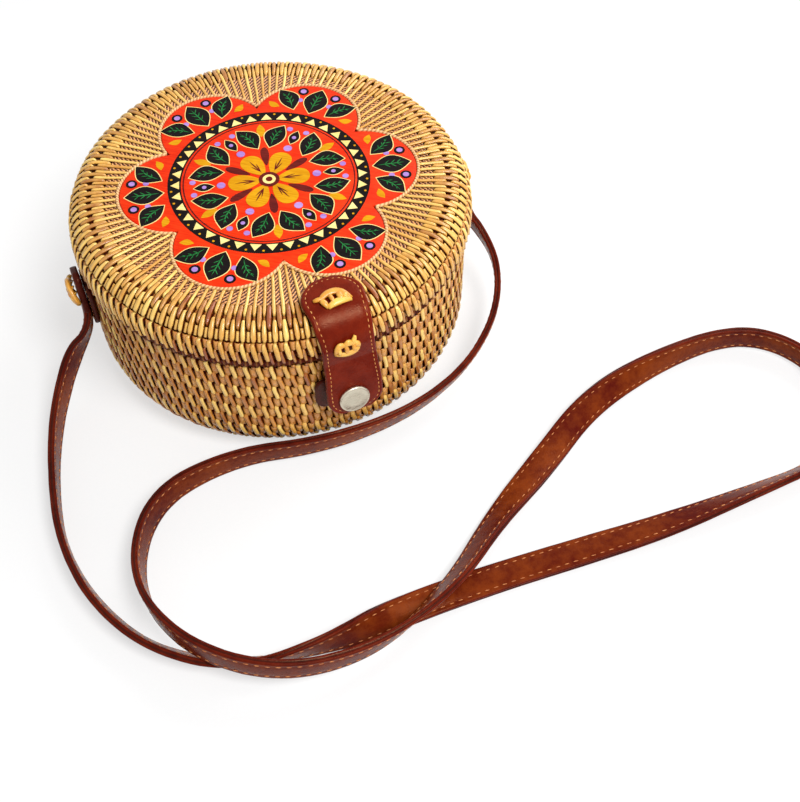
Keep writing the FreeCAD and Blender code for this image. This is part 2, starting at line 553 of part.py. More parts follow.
def strap_sections(edges, leans):
    """Cross-sections of the band along the path; each arc's middle has the lean of its point.

    The band turns as little as it can along the path, and its leans are added to that.
    """
    stations = []
    lean_at = {0: leans[0]}
    along = 0
    for k, edge in enumerate(edges):
        is_arc = k % 2 == 1
        turn = math.degrees(edge.Length / edge.Curve.Radius) if is_arc else 0
        steps = 2 * math.ceil(turn / arc_step / 2) if is_arc else 1
        for step in range(steps):
            if is_arc and step == steps // 2:
                lean_at[len(stations)] = leans[k // 2 + 1]
            spot = edge.FirstParameter + (edge.LastParameter - edge.FirstParameter) * step / steps
            stations.append((along + edge.Length * step / steps, edge.valueAt(spot), edge.tangentAt(spot)))
        along += edge.Length
    lean_at[len(stations)] = leans[-1]
    stations.append((along, edges[-1].valueAt(edges[-1].LastParameter), stations[-1][2]))
    normals = [level_normal(stations[0][2])]
    for length, middle, tangent in stations[1:]:
        normals.append((normals[-1] - tangent * normals[-1].dot(tangent)).normalize())
    roll_at = {}
    roll = 0
    for index, lean in lean_at.items():
        if lean is None:
            continue
        tangent = stations[index][2]
        angle = math.radians(lean)
        wanted = level_normal(tangent) * math.cos(angle) + Vector(0, 0, 1) * math.sin(angle)
        turn = math.atan2(tangent.dot(normals[index].cross(wanted)), normals[index].dot(wanted))
        roll += math.remainder(turn - roll, 2 * math.pi)
        roll_at[index] = roll
    for index, lean in lean_at.items():
        if lean is None:
            roll_at[index] = roll if index > len(stations) / 2 else 0
    rolls = [(stations[index][0], roll_at[index]) for index in lean_at]
    sections = []
    for (length, middle, tangent), normal in zip(stations, normals):
        k = next(k for k in range(1, len(rolls)) if rolls[k][0] >= length or k == len(rolls) - 1)
        (start, roll_start), (stop, roll_stop) = rolls[k - 1], rolls[k]
        roll = roll_start + (roll_stop - roll_start) * (length - start) / (stop - start)
        thick = normal * math.cos(roll) + tangent.cross(normal) * math.sin(roll)
        across = tangent.cross(thick) * (size("strap_width") / 2)
        thick = thick * (size("strap_thick") / 2)
        corners = [middle + across + thick, middle - across + thick, middle - across - thick,
                   middle + across - thick]
        sections.append(Part.makePolygon([*corners, corners[0]]))
    return sections, along


path = strap_path([Vector(*row[:3]) for row in strap_route])
sections, strap_length = strap_sections(path, [row[3] for row in strap_route])
strap = doc.addObject("Part::Feature", "strap_band")
strap.Shape = Part.makeLoft(sections, True, True)
strap.Placement = Placement()
named(strap, "shoulder_strap")
print("strap length", round(strap_length), "sections", len(sections))
print("strap volume", round(strap.Shape.Volume), "section times length",
      round(size("strap_width") * size("strap_thick") * strap_length), "lowest", strap.Shape.BoundBox.ZMin)

doc.recompute()
for piece in doc.Objects:
    if "Invalid" in piece.State or "Error" in piece.State:
        raise RuntimeError(f"{piece.Label} failed: {piece.State}")
for piece in pieces:
    shape = piece.Shape
    if shape.isNull() or not shape.isValid() or len(shape.Solids) != 1:
        raise RuntimeError(f"{piece.Label} is not one valid solid")
os.makedirs("parts", exist_ok=True)
for piece in pieces:
    piece.Shape.exportStep(f"parts/{piece.Label}.step")
    print(f"{piece.Label}: volume {piece.Shape.Volume:.0f}")
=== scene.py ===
import math
import random

import bmesh
import bpy
from mathutils import Matrix, Vector, noise
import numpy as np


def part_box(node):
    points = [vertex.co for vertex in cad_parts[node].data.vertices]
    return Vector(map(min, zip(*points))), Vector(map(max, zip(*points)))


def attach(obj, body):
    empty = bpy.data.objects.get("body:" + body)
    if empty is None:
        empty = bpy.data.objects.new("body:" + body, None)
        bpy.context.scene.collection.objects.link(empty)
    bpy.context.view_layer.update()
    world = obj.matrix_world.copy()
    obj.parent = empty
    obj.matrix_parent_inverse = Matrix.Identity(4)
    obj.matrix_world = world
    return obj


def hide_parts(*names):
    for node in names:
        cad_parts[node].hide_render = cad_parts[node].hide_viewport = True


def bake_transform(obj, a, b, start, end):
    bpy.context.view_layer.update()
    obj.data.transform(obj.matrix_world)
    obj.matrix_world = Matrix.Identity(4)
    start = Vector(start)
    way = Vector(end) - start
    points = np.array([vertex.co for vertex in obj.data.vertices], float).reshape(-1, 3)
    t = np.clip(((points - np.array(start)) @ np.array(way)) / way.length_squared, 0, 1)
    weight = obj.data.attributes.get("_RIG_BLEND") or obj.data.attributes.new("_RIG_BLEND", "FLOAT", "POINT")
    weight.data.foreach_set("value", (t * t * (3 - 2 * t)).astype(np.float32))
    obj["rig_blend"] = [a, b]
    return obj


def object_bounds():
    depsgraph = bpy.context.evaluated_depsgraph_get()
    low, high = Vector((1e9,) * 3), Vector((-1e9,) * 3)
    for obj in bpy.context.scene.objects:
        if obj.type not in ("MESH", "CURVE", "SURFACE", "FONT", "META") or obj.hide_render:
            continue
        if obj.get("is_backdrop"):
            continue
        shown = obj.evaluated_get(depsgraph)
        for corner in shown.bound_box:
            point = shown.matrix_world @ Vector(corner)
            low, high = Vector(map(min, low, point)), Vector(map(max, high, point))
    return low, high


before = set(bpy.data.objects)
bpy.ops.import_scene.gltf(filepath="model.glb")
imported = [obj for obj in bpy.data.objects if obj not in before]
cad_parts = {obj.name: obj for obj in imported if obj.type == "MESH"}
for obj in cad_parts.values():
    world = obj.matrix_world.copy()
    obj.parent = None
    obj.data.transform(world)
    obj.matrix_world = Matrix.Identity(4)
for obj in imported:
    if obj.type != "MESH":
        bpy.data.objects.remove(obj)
cadLow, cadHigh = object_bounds()
mm = 0.001
fullTurn = 2 * math.pi
chance = random.Random(7)
scene = bpy.context.scene
scene.view_settings.view_transform = "Standard"
print("frame loaded,", len(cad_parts), "nodes")


# camera, at the place fitted to the photo
cameraSet = {"place": (-0.1069, -0.3980, 0.4709), "azimuth": -23.0, "elevation": 53.3, "roll": -0.3, "lens": 56.2,
             "sensor": 36}


def makeCamera(spec):
    turn, rise, roll = (math.radians(spec[key]) for key in ("azimuth", "elevation", "roll"))
    back = Vector((math.sin(turn) * math.cos(rise), -math.cos(turn) * math.cos(rise), math.sin(rise)))
    right = Vector((math.cos(turn), math.sin(turn), 0))
    up = back.cross(right)
    across = right * math.cos(roll) + up * math.sin(roll)
    upright = up * math.cos(roll) - right * math.sin(roll)
    lens = bpy.data.cameras.new("photoCamera")
    lens.lens = spec["lens"]
    lens.sensor_width = spec["sensor"]
    camera = bpy.data.objects.new("photoCamera", lens)
    scene.collection.objects.link(camera)
    turned = Matrix((across, upright, back)).transposed().to_4x4()
    camera.matrix_world = Matrix.Translation(spec["place"]) @ turned
    scene.camera = camera


makeCamera(cameraSet)


# colours and node helpers
def tint(red, green, blue):
    def straight(value):
        value /= 255
        return value / 12.92 if value <= 0.04045 else ((value + 0.055) / 1.055) ** 2.4
    return (straight(red), straight(green), straight(blue), 1)


def setInputs(node, inputs):
    # an output of another node is linked, any other value is set on the socket
    for key, value in inputs.items():
        if isinstance(value, bpy.types.NodeSocket):
            node.id_data.links.new(value, node.inputs[key])
        else:
            node.inputs[key].default_value = value
    return node


def addNode(tree, kind, inputs=None, **settings):
    made = tree.nodes.new(kind)
    for key, value in settings.items():
        setattr(made, key, value)
    return setInputs(made, inputs or {})


def mathNode(tree, operation, *values, clamp=False):
    inputs = dict(enumerate(values))
    return addNode(tree, "ShaderNodeMath", inputs, operation=operation, use_clamp=clamp).outputs[0]


def inShares(tree, first, share, second, otherShare):
    return mathNode(tree, "ADD", mathNode(tree, "MULTIPLY", first, share),
                    mathNode(tree, "MULTIPLY", second, otherShare))


def mixColour(tree, factor, first, second):
    return addNode(tree, "ShaderNodeMix", {0: factor, 6: first, 7: second}, data_type="RGBA").outputs[2]


def objectPlace(tree):
    return addNode(tree, "ShaderNodeTexCoord").outputs["Object"]


def fibrePlace(tree):
    return addNode(tree, "ShaderNodeUVMap", uv_map="fibre").outputs[0]


def stretched(tree, vector, scale):
    return addNode(tree, "ShaderNodeMapping", {"Vector": vector, "Scale": scale}).outputs[0]


def noiseOf(tree, vector, scale, detail=3.0, rough=0.55):
    inputs = {"Vector": vector, "Scale": scale, "Detail": detail, "Roughness": rough}
    return addNode(tree, "ShaderNodeTexNoise", inputs).outputs[0]


def shaped(tree, value, low, high, newLow=0.0, newHigh=1.0):
    inputs = dict(enumerate((value, low, high, newLow, newHigh)))
    return addNode(tree, "ShaderNodeMapRange", inputs, interpolation_type="SMOOTHSTEP").outputs[0]


def bumpFrom(tree, height, strength, distance):
    inputs = {"Height": height, "Strength": strength, "Distance": distance}
    return addNode(tree, "ShaderNodeBump", inputs).outputs[0]


def startGroup(name, inputs, outputs):
    group = bpy.data.node_groups.new(name, "ShaderNodeTree")
    for way, sockets in (("INPUT", inputs), ("OUTPUT", outputs)):
        for label, kind in sockets.items():
            group.interface.new_socket(label, in_out=way, socket_type="NodeSocket" + kind)
    return group, addNode(group, "NodeGroupInput").outputs, addNode(group, "NodeGroupOutput")


# split cane: long fibres and blotches, then painted shade: a dark red brown where a strand dives under its neighbours,
# at its sides and in the gaps, with less shine there
def caneFibreGroup():
    tree, given, out = startGroup(
        "caneFibre",
        {"Light": "Color", "Dark": "Color", "GapShade": "Color", "Tone": "Float", "Lift": "Float", "Fibre": "Vector"},
        {"Colour": "Color", "Rough": "Float", "Height": "Float", "Shine": "Float"})
    fine = noiseOf(tree, stretched(tree, given["Fibre"], (5.0, 0.22, 1)), 1.0, 4.0, 0.65)
    blotch = noiseOf(tree, stretched(tree, given["Fibre"], (0.25, 0.16, 1)), 1.0, 2.0)
    streaks = mathNode(tree, "MULTIPLY_ADD", fine, 0.9, -0.45)
    patches = mathNode(tree, "MULTIPLY_ADD", blotch, 1.1, -0.55)
    shade = mathNode(tree, "ADD", mathNode(tree, "ADD", streaks, patches), given["Tone"], clamp=True)
    body = mixColour(tree, shade, given["Dark"], given["Light"])
    # painted shade: where Lift is low, the dark gap colour replaces the cane's own
    setInputs(out, {"Colour": mixColour(tree, shaped(tree, given["Lift"], 0.05, 0.75), given["GapShade"], body),
                    "Rough": shaped(tree, fine, 0.3, 0.8, 0.22, 0.40),
                    "Shine": shaped(tree, given["Lift"], 0.3, 0.95, 0.04, 0.65),
                    "Height": fine})
    return tree


coatInputs = {"Light": "Color", "Dark": "Color", "Place": "Vector"}
coatOutputs = {"Colour": "Color", "Rough": "Float", "Height": "Float"}


# leather: fine pebbled grain, soft creases and uneven dye
def hideGrainGroup():
    tree, given, out = startGroup("hideGrain", coatInputs, coatOutputs)
    pebble = addNode(tree, "ShaderNodeTexVoronoi", {"Vector": given["Place"], "Scale": 1500.0}, feature="F1")
    crease = noiseOf(tree, given["Place"], 240.0, 5.0, 0.6)
    dyeAndShade = noiseOf(tree, given["Place"], 38.0, 3.0, 0.6)
    shade = shaped(tree, inShares(tree, crease, 0.45, dyeAndShade, 0.75), 0.38, 0.82)
    setInputs(out, {"Colour": mixColour(tree, shade, given["Dark"], given["Light"]),
                    "Rough": shaped(tree, crease, 0.3, 0.75, 0.22, 0.38),
                    "Height": mathNode(tree, "MULTIPLY_ADD", pebble.outputs["Distance"], 0.5, crease)})
    return tree


# lacquered paint, brushed on in one slanting direction
def brushedPaintGroup():
    tree, given, out = startGroup("brushedPaint", coatInputs, coatOutputs)
    slant = {"Vector": given["Place"], "Rotation": (0, 0, math.radians(38))}
    turned = addNode(tree, "ShaderNodeMapping", slant).outputs[0]
    streak = noiseOf(tree, stretched(tree, turned, (90, 1500, 90)), 1.0, 3.0, 0.6)
    cloud = noiseOf(tree, given["Place"], 90.0, 3.0)
    shade = shaped(tree, inShares(tree, streak, 0.6, cloud, 0.4), 0.34, 0.66)
    setInputs(out, {"Colour": mixColour(tree, shade, given["Dark"], given["Light"]),
                    "Rough": shaped(tree, streak, 0.3, 0.7, 0.34, 0.50),
                    "Height": streak})
    return tree


caneFibre, hideGrain, brushedPaint = caneFibreGroup(), hideGrainGroup(), brushedPaintGroup()


def startMaterial(name):
    made = bpy.data.materials.new(name)
    made.use_nodes = True
    return made, made.node_tree, made.node_tree.nodes["Principled BSDF"]


def coatShader(tree, shader, group, inputs, strength, distance):
    coat = addNode(tree, "ShaderNodeGroup", inputs, node_tree=group).outputs
    setInputs(shader, {"Base Color": coat["Colour"], "Roughness": coat["Rough"],
                       "Normal": bumpFrom(tree, coat["Height"], strength, distance)})
    return coat


# the third colour is the painted shade in the gaps and under crossings
def caneMaterial(name, light, dark, gapShade=(88, 24, 10)):
    made, tree, shader = startMaterial(name)
    inputs = {"Light": tint(*light), "Dark": tint(*dark), "GapShade": tint(*gapShade), "Fibre": fibrePlace(tree)}
    for layer, socket in (("tone", "Tone"), ("lift", "Lift")):
        inputs[socket] = addNode(tree, "ShaderNodeAttribute", attribute_name=layer).outputs["Fac"]
    coat = coatShader(tree, shader, caneFibre, inputs, 0.25, 0.2 * mm)
    setInputs(shader, {"Specular IOR Level": coat["Shine"]})
    return made


def leatherMaterial(name, light, dark, shine=0.17):
    made, tree, shader = startMaterial(name)
    inputs = {"Light": tint(*light), "Dark": tint(*dark), "Place": objectPlace(tree)}
    coatShader(tree, shader, hideGrain, inputs, 0.30, 0.3 * mm)
    setInputs(shader, {"Specular IOR Level": shine, "Specular Tint": tint(255, 192, 150)})
    return made


def paintMaterial(name, light, dark):
    made, tree, shader = startMaterial(name)
    inputs = {"Light": tint(*light), "Dark": tint(*dark), "Place": objectPlace(tree)}
    coatShader(tree, shader, brushedPaint, inputs, 0.12, 0.2 * mm)
    setInputs(shader, {"Specular IOR Level": 0.07})
    return made


lightCane = caneMaterial("lightCane", (252, 216, 120), (208, 140, 48))
brownCane = caneMaterial("brownCane", (220, 150, 58), (150, 78, 20))
rimCane = caneMaterial("rimCane", (238, 182, 84), (146, 72, 18))
flatCane = caneMaterial("flatCane", (232, 172, 86), (182, 106, 40))
knotCane = caneMaterial("knotCane", (252, 204, 92), (206, 124, 22), (70, 22, 6))
hide = leatherMaterial("brownHide", (117, 30, 11), (90, 15, 7))
strapHide = leatherMaterial("strapHide", (124, 52, 15), (78, 14, 9), 0.07)
strapEdge = leatherMaterial("strapEdge", (106, 32, 14), (72, 14, 9), 0.08)
# a darker copy of the leather, painted shade: on the strap's ends and tabs at the shaded sides, and in the groove
# between the strap's layers; the catch patch and hinge use it too
darkAndShadedHide = leatherMaterial("darkAndShadedHide", (76, 21, 14), (46, 10, 8))
# the cut edge: partly the raw leather's paler cut, partly a painted highlight where the edge catches light
highlitEdgeHide = leatherMaterial("cutEdgeHighlit", (190, 118, 92), (150, 76, 54))
print("cane and leather mixed")


def threadMaterial(name, light, dark):
    made, tree, shader = startMaterial(name)
    ply = shaped(tree, noiseOf(tree, objectPlace(tree), 900.0, 2.0), 0.3, 0.7)
    setInputs(shader, {"Base Color": mixColour(tree, ply, tint(*dark), tint(*light)), "Roughness": 0.6})
    return made


def metalMaterial():
    made, tree, shader = startMaterial("snapMetal")
    brush = noiseOf(tree, stretched(tree, objectPlace(tree), (400, 400, 2600)), 1.0, 4.0)
    setInputs(shader, {"Base Color": mixColour(tree, brush, tint(178, 166, 142), tint(232, 226, 208)),
                       "Roughness": shaped(tree, brush, 0.2, 0.8, 0.22, 0.42), "Metallic": 1.0})
    return made


def liningMaterial():
    made, tree, shader = startMaterial("liningCloth")
    threads = fibrePlace(tree)
    across, down = (addNode(tree, "ShaderNodeTexWave", {"Vector": threads, "Scale": 0.5, "Distortion": 0.6},
                            bands_direction=way).outputs["Fac"] for way in "XY")
    woven = mathNode(tree, "MULTIPLY", across, down)
    slub = noiseOf(tree, stretched(tree, threads, (0.08, 0.5, 1)), 1.0, 3.0)
    shade = inShares(tree, woven, 0.5, slub, 0.6)
    setInputs(shader, {"Base Color": mixColour(tree, shade, tint(150, 112, 72), tint(224, 196, 150)),
                       "Normal": bumpFrom(tree, woven, 0.3, 0.3 * mm), "Roughness": 0.85, "Sheen Weight": 0.25})
    return made


def twistedMaterial(name, light, dark, spiral=None, low=0.25):
    # thin cord laid in turns: plies slant along each coil, or run on from coil to coil around the lid's axis
    made, tree, shader = startMaterial(name)
    place = objectPlace(tree)
    across, away = addNode(tree, "ShaderNodeSeparateXYZ", {0: place if spiral else fibrePlace(tree)}).outputs[:2]
    if spiral:
        turn = mathNode(tree, "ARCTAN2", away, across)
        far = mathNode(tree, "SQRT", inShares(tree, across, across, away, away))
        slant = inShares(tree, turn, spiral[0] / fullTurn, far, spiral[1])
    else:
        slant = mathNode(tree, "MULTIPLY_ADD", across, -1.1, away)
    wave = mathNode(tree, "SINE", mathNode(tree, "MULTIPLY", slant, fullTurn))
    ply = mathNode(tree, "MULTIPLY_ADD", wave, 0.5, 0.5)
    blotch = noiseOf(tree, place, 260.0, 3.0)
    # painted shade: the dark part of each ply wave is the groove between the plies; the blotches are the cord's own
    # uneven tone
    shade = shaped(tree, inShares(tree, ply, 0.6, blotch, 0.6), low, 0.8)
    setInputs(shader, {"Base Color": mixColour(tree, shade, tint(*dark), tint(*light)),
                       "Roughness": shaped(tree, blotch, 0.3, 0.7, 0.38, 0.58),
                       "Normal": bumpFrom(tree, ply, 0.5, 0.4 * mm)})
    return made


thread = threadMaterial("stitchThread", (232, 168, 92), (196, 118, 54))
strapThread = threadMaterial("strapThread", (206, 132, 72), (168, 90, 44))
snapMetal, liningCloth = metalMaterial(), liningMaterial()
groundCord = twistedMaterial("groundCord", (234, 172, 112), (80, 28, 10), (236.0, 480.0), 0.48)
edgeCord = twistedMaterial("edgeCord", (236, 192, 134), (186, 128, 74))
print("thread, metal, cloth and cord mixed")


# mesh helpers
mergeGap = 1e-6


def startMesh():
    bm = bmesh.new()
    bm.loops.layers.uv.new("fibre")
    bm.verts.layers.float.new("tone")
    # lift: how far a point lies on top; the cane material paints shade where it is low
    bm.verts.layers.float.new("lift")
    return bm


def finishPiece(bm, name, materials, body, nodes=()):
    bmesh.ops.remove_doubles(bm, verts=bm.verts, dist=mergeGap)
    bmesh.ops.holes_fill(bm, edges=[edge for edge in bm.edges if edge.is_boundary], sides=0)
    bmesh.ops.recalc_face_normals(bm, faces=bm.faces)
    for face in bm.faces:
        face.smooth = True
    mesh = bpy.data.meshes.new(name)
    bm.to_mesh(mesh)
    bm.free()
    for material in materials:
        mesh.materials.append(material)
    piece = bpy.data.objects.new(name, mesh)
    scene.collection.objects.link(piece)
    if body:
        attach(piece, body)
    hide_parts(*nodes)
    return piece


# one flat grid cut into strips: spot(strip, along, around) gives a point and how far it lies on top, which sets its
# painted shade
def layStrips(bm, count, along, around, spot, tone=None, material=0, fibre=(1.0, 1.0)):
    uv = bm.loops.layers.uv["fibre"]
    toneLayer, liftLayer = bm.verts.layers.float["tone"], bm.verts.layers.float["lift"]
    rows = count * (around + 1) - 1
    made = bmesh.ops.create_grid(bm, x_segments=along, y_segments=rows, size=0.5)["verts"]
    cell = {}
    for vert in made:
        row = round((vert.co.y + 0.5) * rows)
        forward = round((vert.co.x + 0.5) * along) / along
        cell[vert] = (row // (around + 1), forward, row % (around + 1) / around)
    faces = {face for vert in made for face in vert.link_faces}
    between = [face for face in faces if len({cell[vert][0] for vert in face.verts}) > 1]
    for face in faces.difference(between):
        turns = [cell[vert][2] for vert in face.verts]
        face.material_index = material(min(turns)) if callable(material) else material
        for loop in face.loops:  # each strip is cut from another place in the fibre
            strip, forward, turn = cell[loop.vert]
            loop[uv].uv = (turn * fibre[0] + strip * 7.3, forward * fibre[1] + strip * 3.1)
    bmesh.ops.delete(bm, geom=between, context="FACES")
    for vert, (strip, forward, turn) in cell.items():
        vert.co, vert[liftLayer] = spot(strip, forward, turn)
        vert[toneLayer] = tone[strip] if tone else 0.5


def onAxis(radius, angle, level):
    return Vector((radius * math.cos(angle), radius * math.sin(angle), level))


def smoothStep(value):
    value = min(max(value, 0.0), 1.0)
    return value * value * (3 - 2 * value)


def through(table, at):
    for (first, low), (second, high) in zip(table, table[1:]):
        if at <= second:
            return low + (high - low) * smoothStep((at - first) / (second - first))
    return table[-1][1]


# sections of strips, as points across and out in shares of the half width and half thickness
ovalCane = [(1.0, 0.0), (0.70, 0.78), (0.0, 1.0), (-0.70, 0.78), (-1.0, 0.0), (0.0, -0.8)]
flatBand = [(1.0, 0.0), (0.86, 1.0), (-0.86, 1.0), (-1.0, 0.0), (-0.86, -1.0), (0.86, -1.0)]


def pointOf(section, turn):
    return section[round(turn * len(section)) % len(section)]


stitchSet = {"length": 1.6 * mm, "width": 0.44 * mm, "height": 0.28 * mm, "swell": [0.0, 0.85, 1.0, 0.85, 0.0]}


def sewStitches(bm, stitches, length=stitchSet["length"]):
    # stitches: middle, direction and outward direction of each
    steps = len(stitchSet["swell"]) - 1

    def spot(strip, forward, turn):
        place, along, out = stitches[strip]
        full, angle = stitchSet["swell"][round(forward * steps)], fullTurn * turn
        aside = along.cross(out) * math.cos(angle) * full * stitchSet["width"] / 2
        up = out * math.sin(angle) * full * stitchSet["height"]
        return place + along * length * (forward - 0.5) + aside + up, 1.0
    layStrips(bm, len(stitches), steps, 6, spot, material=1)


# floor and light. lamps: place, size and power
stageSet = {"floor": tint(238, 238, 238), "fleck": tint(246, 246, 246), "reach": 4, "white": 0.62, "world": 0.37,
            "target": (0, -0.03, 0.05), "lamps": {"keyLight": ((0.22, -0.72, 1.1), 0.5, 14.5),
                                                  "sideLight": ((0.85, 0.35, 0.75), 0.8, 8.0)}}


def seenRays(tree):
    # the rays that show the background, also in metal
    path = addNode(tree, "ShaderNodeLightPath").outputs
    return mathNode(tree, "MAXIMUM", path["Is Camera Ray"],
                    mathNode(tree, "MAXIMUM", path["Is Glossy Ray"], path["Is Transmission Ray"]))


def makeStage(spec):
    bm = bmesh.new()
    bmesh.ops.create_grid(bm, x_segments=1, y_segments=1, size=spec["reach"])
    mesh = bpy.data.meshes.new("paleFloor")
    bm.to_mesh(mesh)
    bm.free()
    floor = bpy.data.objects.new("paleFloor", mesh)
    scene.collection.objects.link(floor)
    floor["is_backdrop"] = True
    made, tree, shader = startMaterial("paleFloor")
    paper = noiseOf(tree, objectPlace(tree), 700.0, 2.0)
    setInputs(shader, {"Base Color": mixColour(tree, paper, spec["floor"], spec["fleck"]), "Roughness": 0.9})
    glow = addNode(tree, "ShaderNodeEmission", {"Color": (1, 1, 1, 1), "Strength": 1.0})
    share = mathNode(tree, "MULTIPLY", seenRays(tree), spec["white"])
    blend = addNode(tree, "ShaderNodeMixShader", {0: share, 1: shader.outputs[0], 2: glow.outputs[0]})
    setInputs(tree.nodes["Material Output"], {"Surface": blend.outputs[0]})
    mesh.materials.append(made)
    for name, (place, size, power) in spec["lamps"].items():
        light = bpy.data.lights.new(name, "AREA")
        light.shape, light.size, light.energy = "DISK", size, power
        lamp = bpy.data.objects.new(name, light)
        scene.collection.objects.link(lamp)
        lamp.location = place
        lamp.rotation_euler = (Vector(spec["target"]) - Vector(place)).to_track_quat("-Z", "Y").to_euler()
    world = bpy.data.worlds.new("softRoom")
    world.use_nodes = True
    sky = world.node_tree
    strength = mathNode(sky, "MULTIPLY_ADD", seenRays(sky), 1 - spec["world"], spec["world"])
    setInputs(sky.nodes["Background"], {"Color": (1, 1, 1, 1), "Strength": strength})
    scene.world = world


makeStage(stageSet)
print("camera, floor and light set")


# strap: two leather layers sewn back to back. side: a quarter of its section, from the edge to the middle.
# faces: materials around half of it, with painted shade in the groove where the layers meet. The route is the CAD
# band's, in mm, with its lean (0 on edge, 90 flat)
strapSet = {"width": 13 * mm, "thick": 3 * mm, "smooth": 10, "seam": 0.62 * mm, "wrinkle": 0.12 * mm,
            "stitchInset": 2.2 * mm, "stitchPitch": 4.1 * mm, "stitchLong": 2.5 * mm, "stitchStart": 6 * mm,
            "side": [(0.985, 0.0), (1.0, 0.30), (0.98, 0.82), (0.90, 1.0), (0.75, 0.97), (0.66, 0.88), (0.57, 0.98),
                     (0.30, 1.02)],
            "faces": [2, 3, 3] + [0] * 9 + [3, 3, 2]}
strapRoute = [
    (-91.9, -1.8, 47.6, 0), (-91.9, -4.1, 36.8, None), (-102.5, -6, 24.5, 8), (-113, -15.5, 12.8, -6),
    (-122.5, -34, 7.6, -4), (-130, -61, 6.8, 1), (-134.5, -92, 6.8, 0), (-129, -125, 6.8, -16),
    (-113, -155, 6.8, -23), (-84, -175, 6.1, -38), (-48, -181, 7.4, -2), (-10, -178, 4.9, 70),
    (30, -178, 2, 88), (68, -181, 2, 92), (107, -185, 4.1, 108), (148, -186, 6.1, 135),
    (188, -186, 6.8, 152), (209, -171, 7.5, 170), (217, -146, 8.5, 181), (209, -121, 8.5, 186),
    (188, -106, 8, 183), (148, -106, 6.9, 164), (109, -113.5, 4.9, 118), (74, -134.5, 2.4, 92),
    (41, -154, 5.4, 54), (10, -179, 13.6, 39), (-29, -193, 11.2, 8), (-70, -190.5, 17, 0),
    (-101, -166, 20.5, 0), (-112, -124, 9, 8), (-93, -86, 6.9, 12), (-53, -78.5, 7, -4),
    (-14, -89.5, 8.5, -9), (25, -90.5, 10.5, -18), (56, -81.5, 13, -22), (79, -66, 16.5, -13),
    (93, -49, 21.5, 0), (99, -32, 27, 13), (97, -18.5, 33.5, 22), (91.9, -10.6, 40.7, None),
    (91.9, -4.9, 48.9, 0),
]


def splinePoints(name, controls, resolution):
    curve = bpy.data.curves.new(name, "CURVE")
    curve.dimensions = "3D"
    curve.resolution_u = resolution
    spline = curve.splines.new("NURBS")
    spline.points.add(len(controls) - 1)
    for point, place in zip(spline.points, controls):
        point.co = (*place, 1)
    spline.order_u = 3
    spline.use_endpoint_u = True
    holder = bpy.data.objects.new(name, curve)
    scene.collection.objects.link(holder)
    bpy.context.view_layer.update()
    mesh = bpy.data.meshes.new_from_object(holder.evaluated_get(bpy.context.evaluated_depsgraph_get()))
    points = [vert.co.copy() for vert in mesh.vertices]
    bpy.data.objects.remove(holder)
    bpy.data.curves.remove(curve)
    bpy.data.meshes.remove(mesh)
    return points


def routeNormals(route):
    places = [Vector(row[:3]) for row in route]
    normals = []
    for index, row in enumerate(route):
        if row[3] is None:
            normals.append(None)
            continue
        ahead = places[min(index + 1, len(route) - 1)] - places[max(index - 1, 0)]
        level = Vector((ahead.y, -ahead.x, 0)).normalized()
        lean = math.radians(row[3])
        normals.append(level * math.cos(lean) + Vector((0, 0, 1)) * math.sin(lean))
    for index, normal in enumerate(normals):
        if normal is None:  # next to the knots the band keeps the roll of what it hangs from
            before = normals[index - 1]
            after = next(other for other in normals[index + 1:] if other is not None)
            normals[index] = before.lerp(after, 0.4).normalized()
    return normals


def makeStrap(spec):
    places = [tuple(value * mm for value in row[:3]) for row in strapRoute]
    centres = splinePoints("strapLine", places, spec["smooth"])
    rolls = splinePoints("strapRoll", routeNormals(strapRoute), spec["smooth"])
    half, deep, last = spec["width"] / 2, spec["thick"] / 2, len(centres) - 1
    outline = spec["side"] + [(-across, out) for across, out in reversed(spec["side"])]
    outline = outline + [(-across, -out) for across, out in outline[1:-1]]
    tangents = [(centres[min(i + 1, last)] - centres[max(i - 1, 0)]).normalized() for i in range(last + 1)]
    normals = [(roll - along * roll.dot(along)).normalized() for roll, along in zip(rolls, tangents)]
    lengths = [0.0]
    for first, second in zip(centres, centres[1:]):
        lengths.append(lengths[-1] + (second - first).length)
    bm = startMesh()

    def spot(strip, forward, turn):
        index = round(forward * last)
        across, out = pointOf(outline, turn)
        pinch = spec["seam"] if abs(across) > 0.98 and abs(out) < 0.01 else 0.0  # between the layers
        sideways = tangents[index].cross(normals[index])
        wrinkle = noise.noise(centres[index] * 160 + Vector((across * 2, out, 0))) * spec["wrinkle"]
        reach = half * across - math.copysign(pinch, across)
        rise = deep * out + wrinkle * (1 if out > 0 else -1)
        return centres[index] + sideways * reach + normals[index] * rise, 1.0
    layStrips(bm, 1, last, len(outline), spot,
              material=lambda turn: spec["faces"][round(turn * len(outline)) % len(spec["faces"])])
    at, index, stitches = spec["stitchStart"], 0, []
    while at < lengths[-1] - spec["stitchStart"]:
        while lengths[index + 1] < at:
            index += 1
        share = (at - lengths[index]) / (lengths[index + 1] - lengths[index])
        place = centres[index].lerp(centres[index + 1], share)
        normal = normals[index].lerp(normals[index + 1], share).normalized()
        along = tangents[index].lerp(tangents[index + 1], share).normalized()
        sideways = along.cross(normal)
        stitches += [(place + sideways * edge * (half - spec["stitchInset"]) + normal * face * deep * 0.92,
                      (along + sideways * 0.06 * edge).normalized(), normal * face)
                     for edge in (-1, 1) for face in (-1, 1)]
        at += spec["stitchPitch"]
    sewStitches(bm, stitches, spec["stitchLong"])
    strap = finishPiece(bm, "stitchedStrap", [strapHide, strapThread, darkAndShadedHide, strapEdge], "base",
                        ["shoulder_strap"])
    tuple(centres[0])
    [tuple(place) for place in centres]
    print("strap laid,", round(lengths[-1], 3), "m")


makeStrap(strapSet)


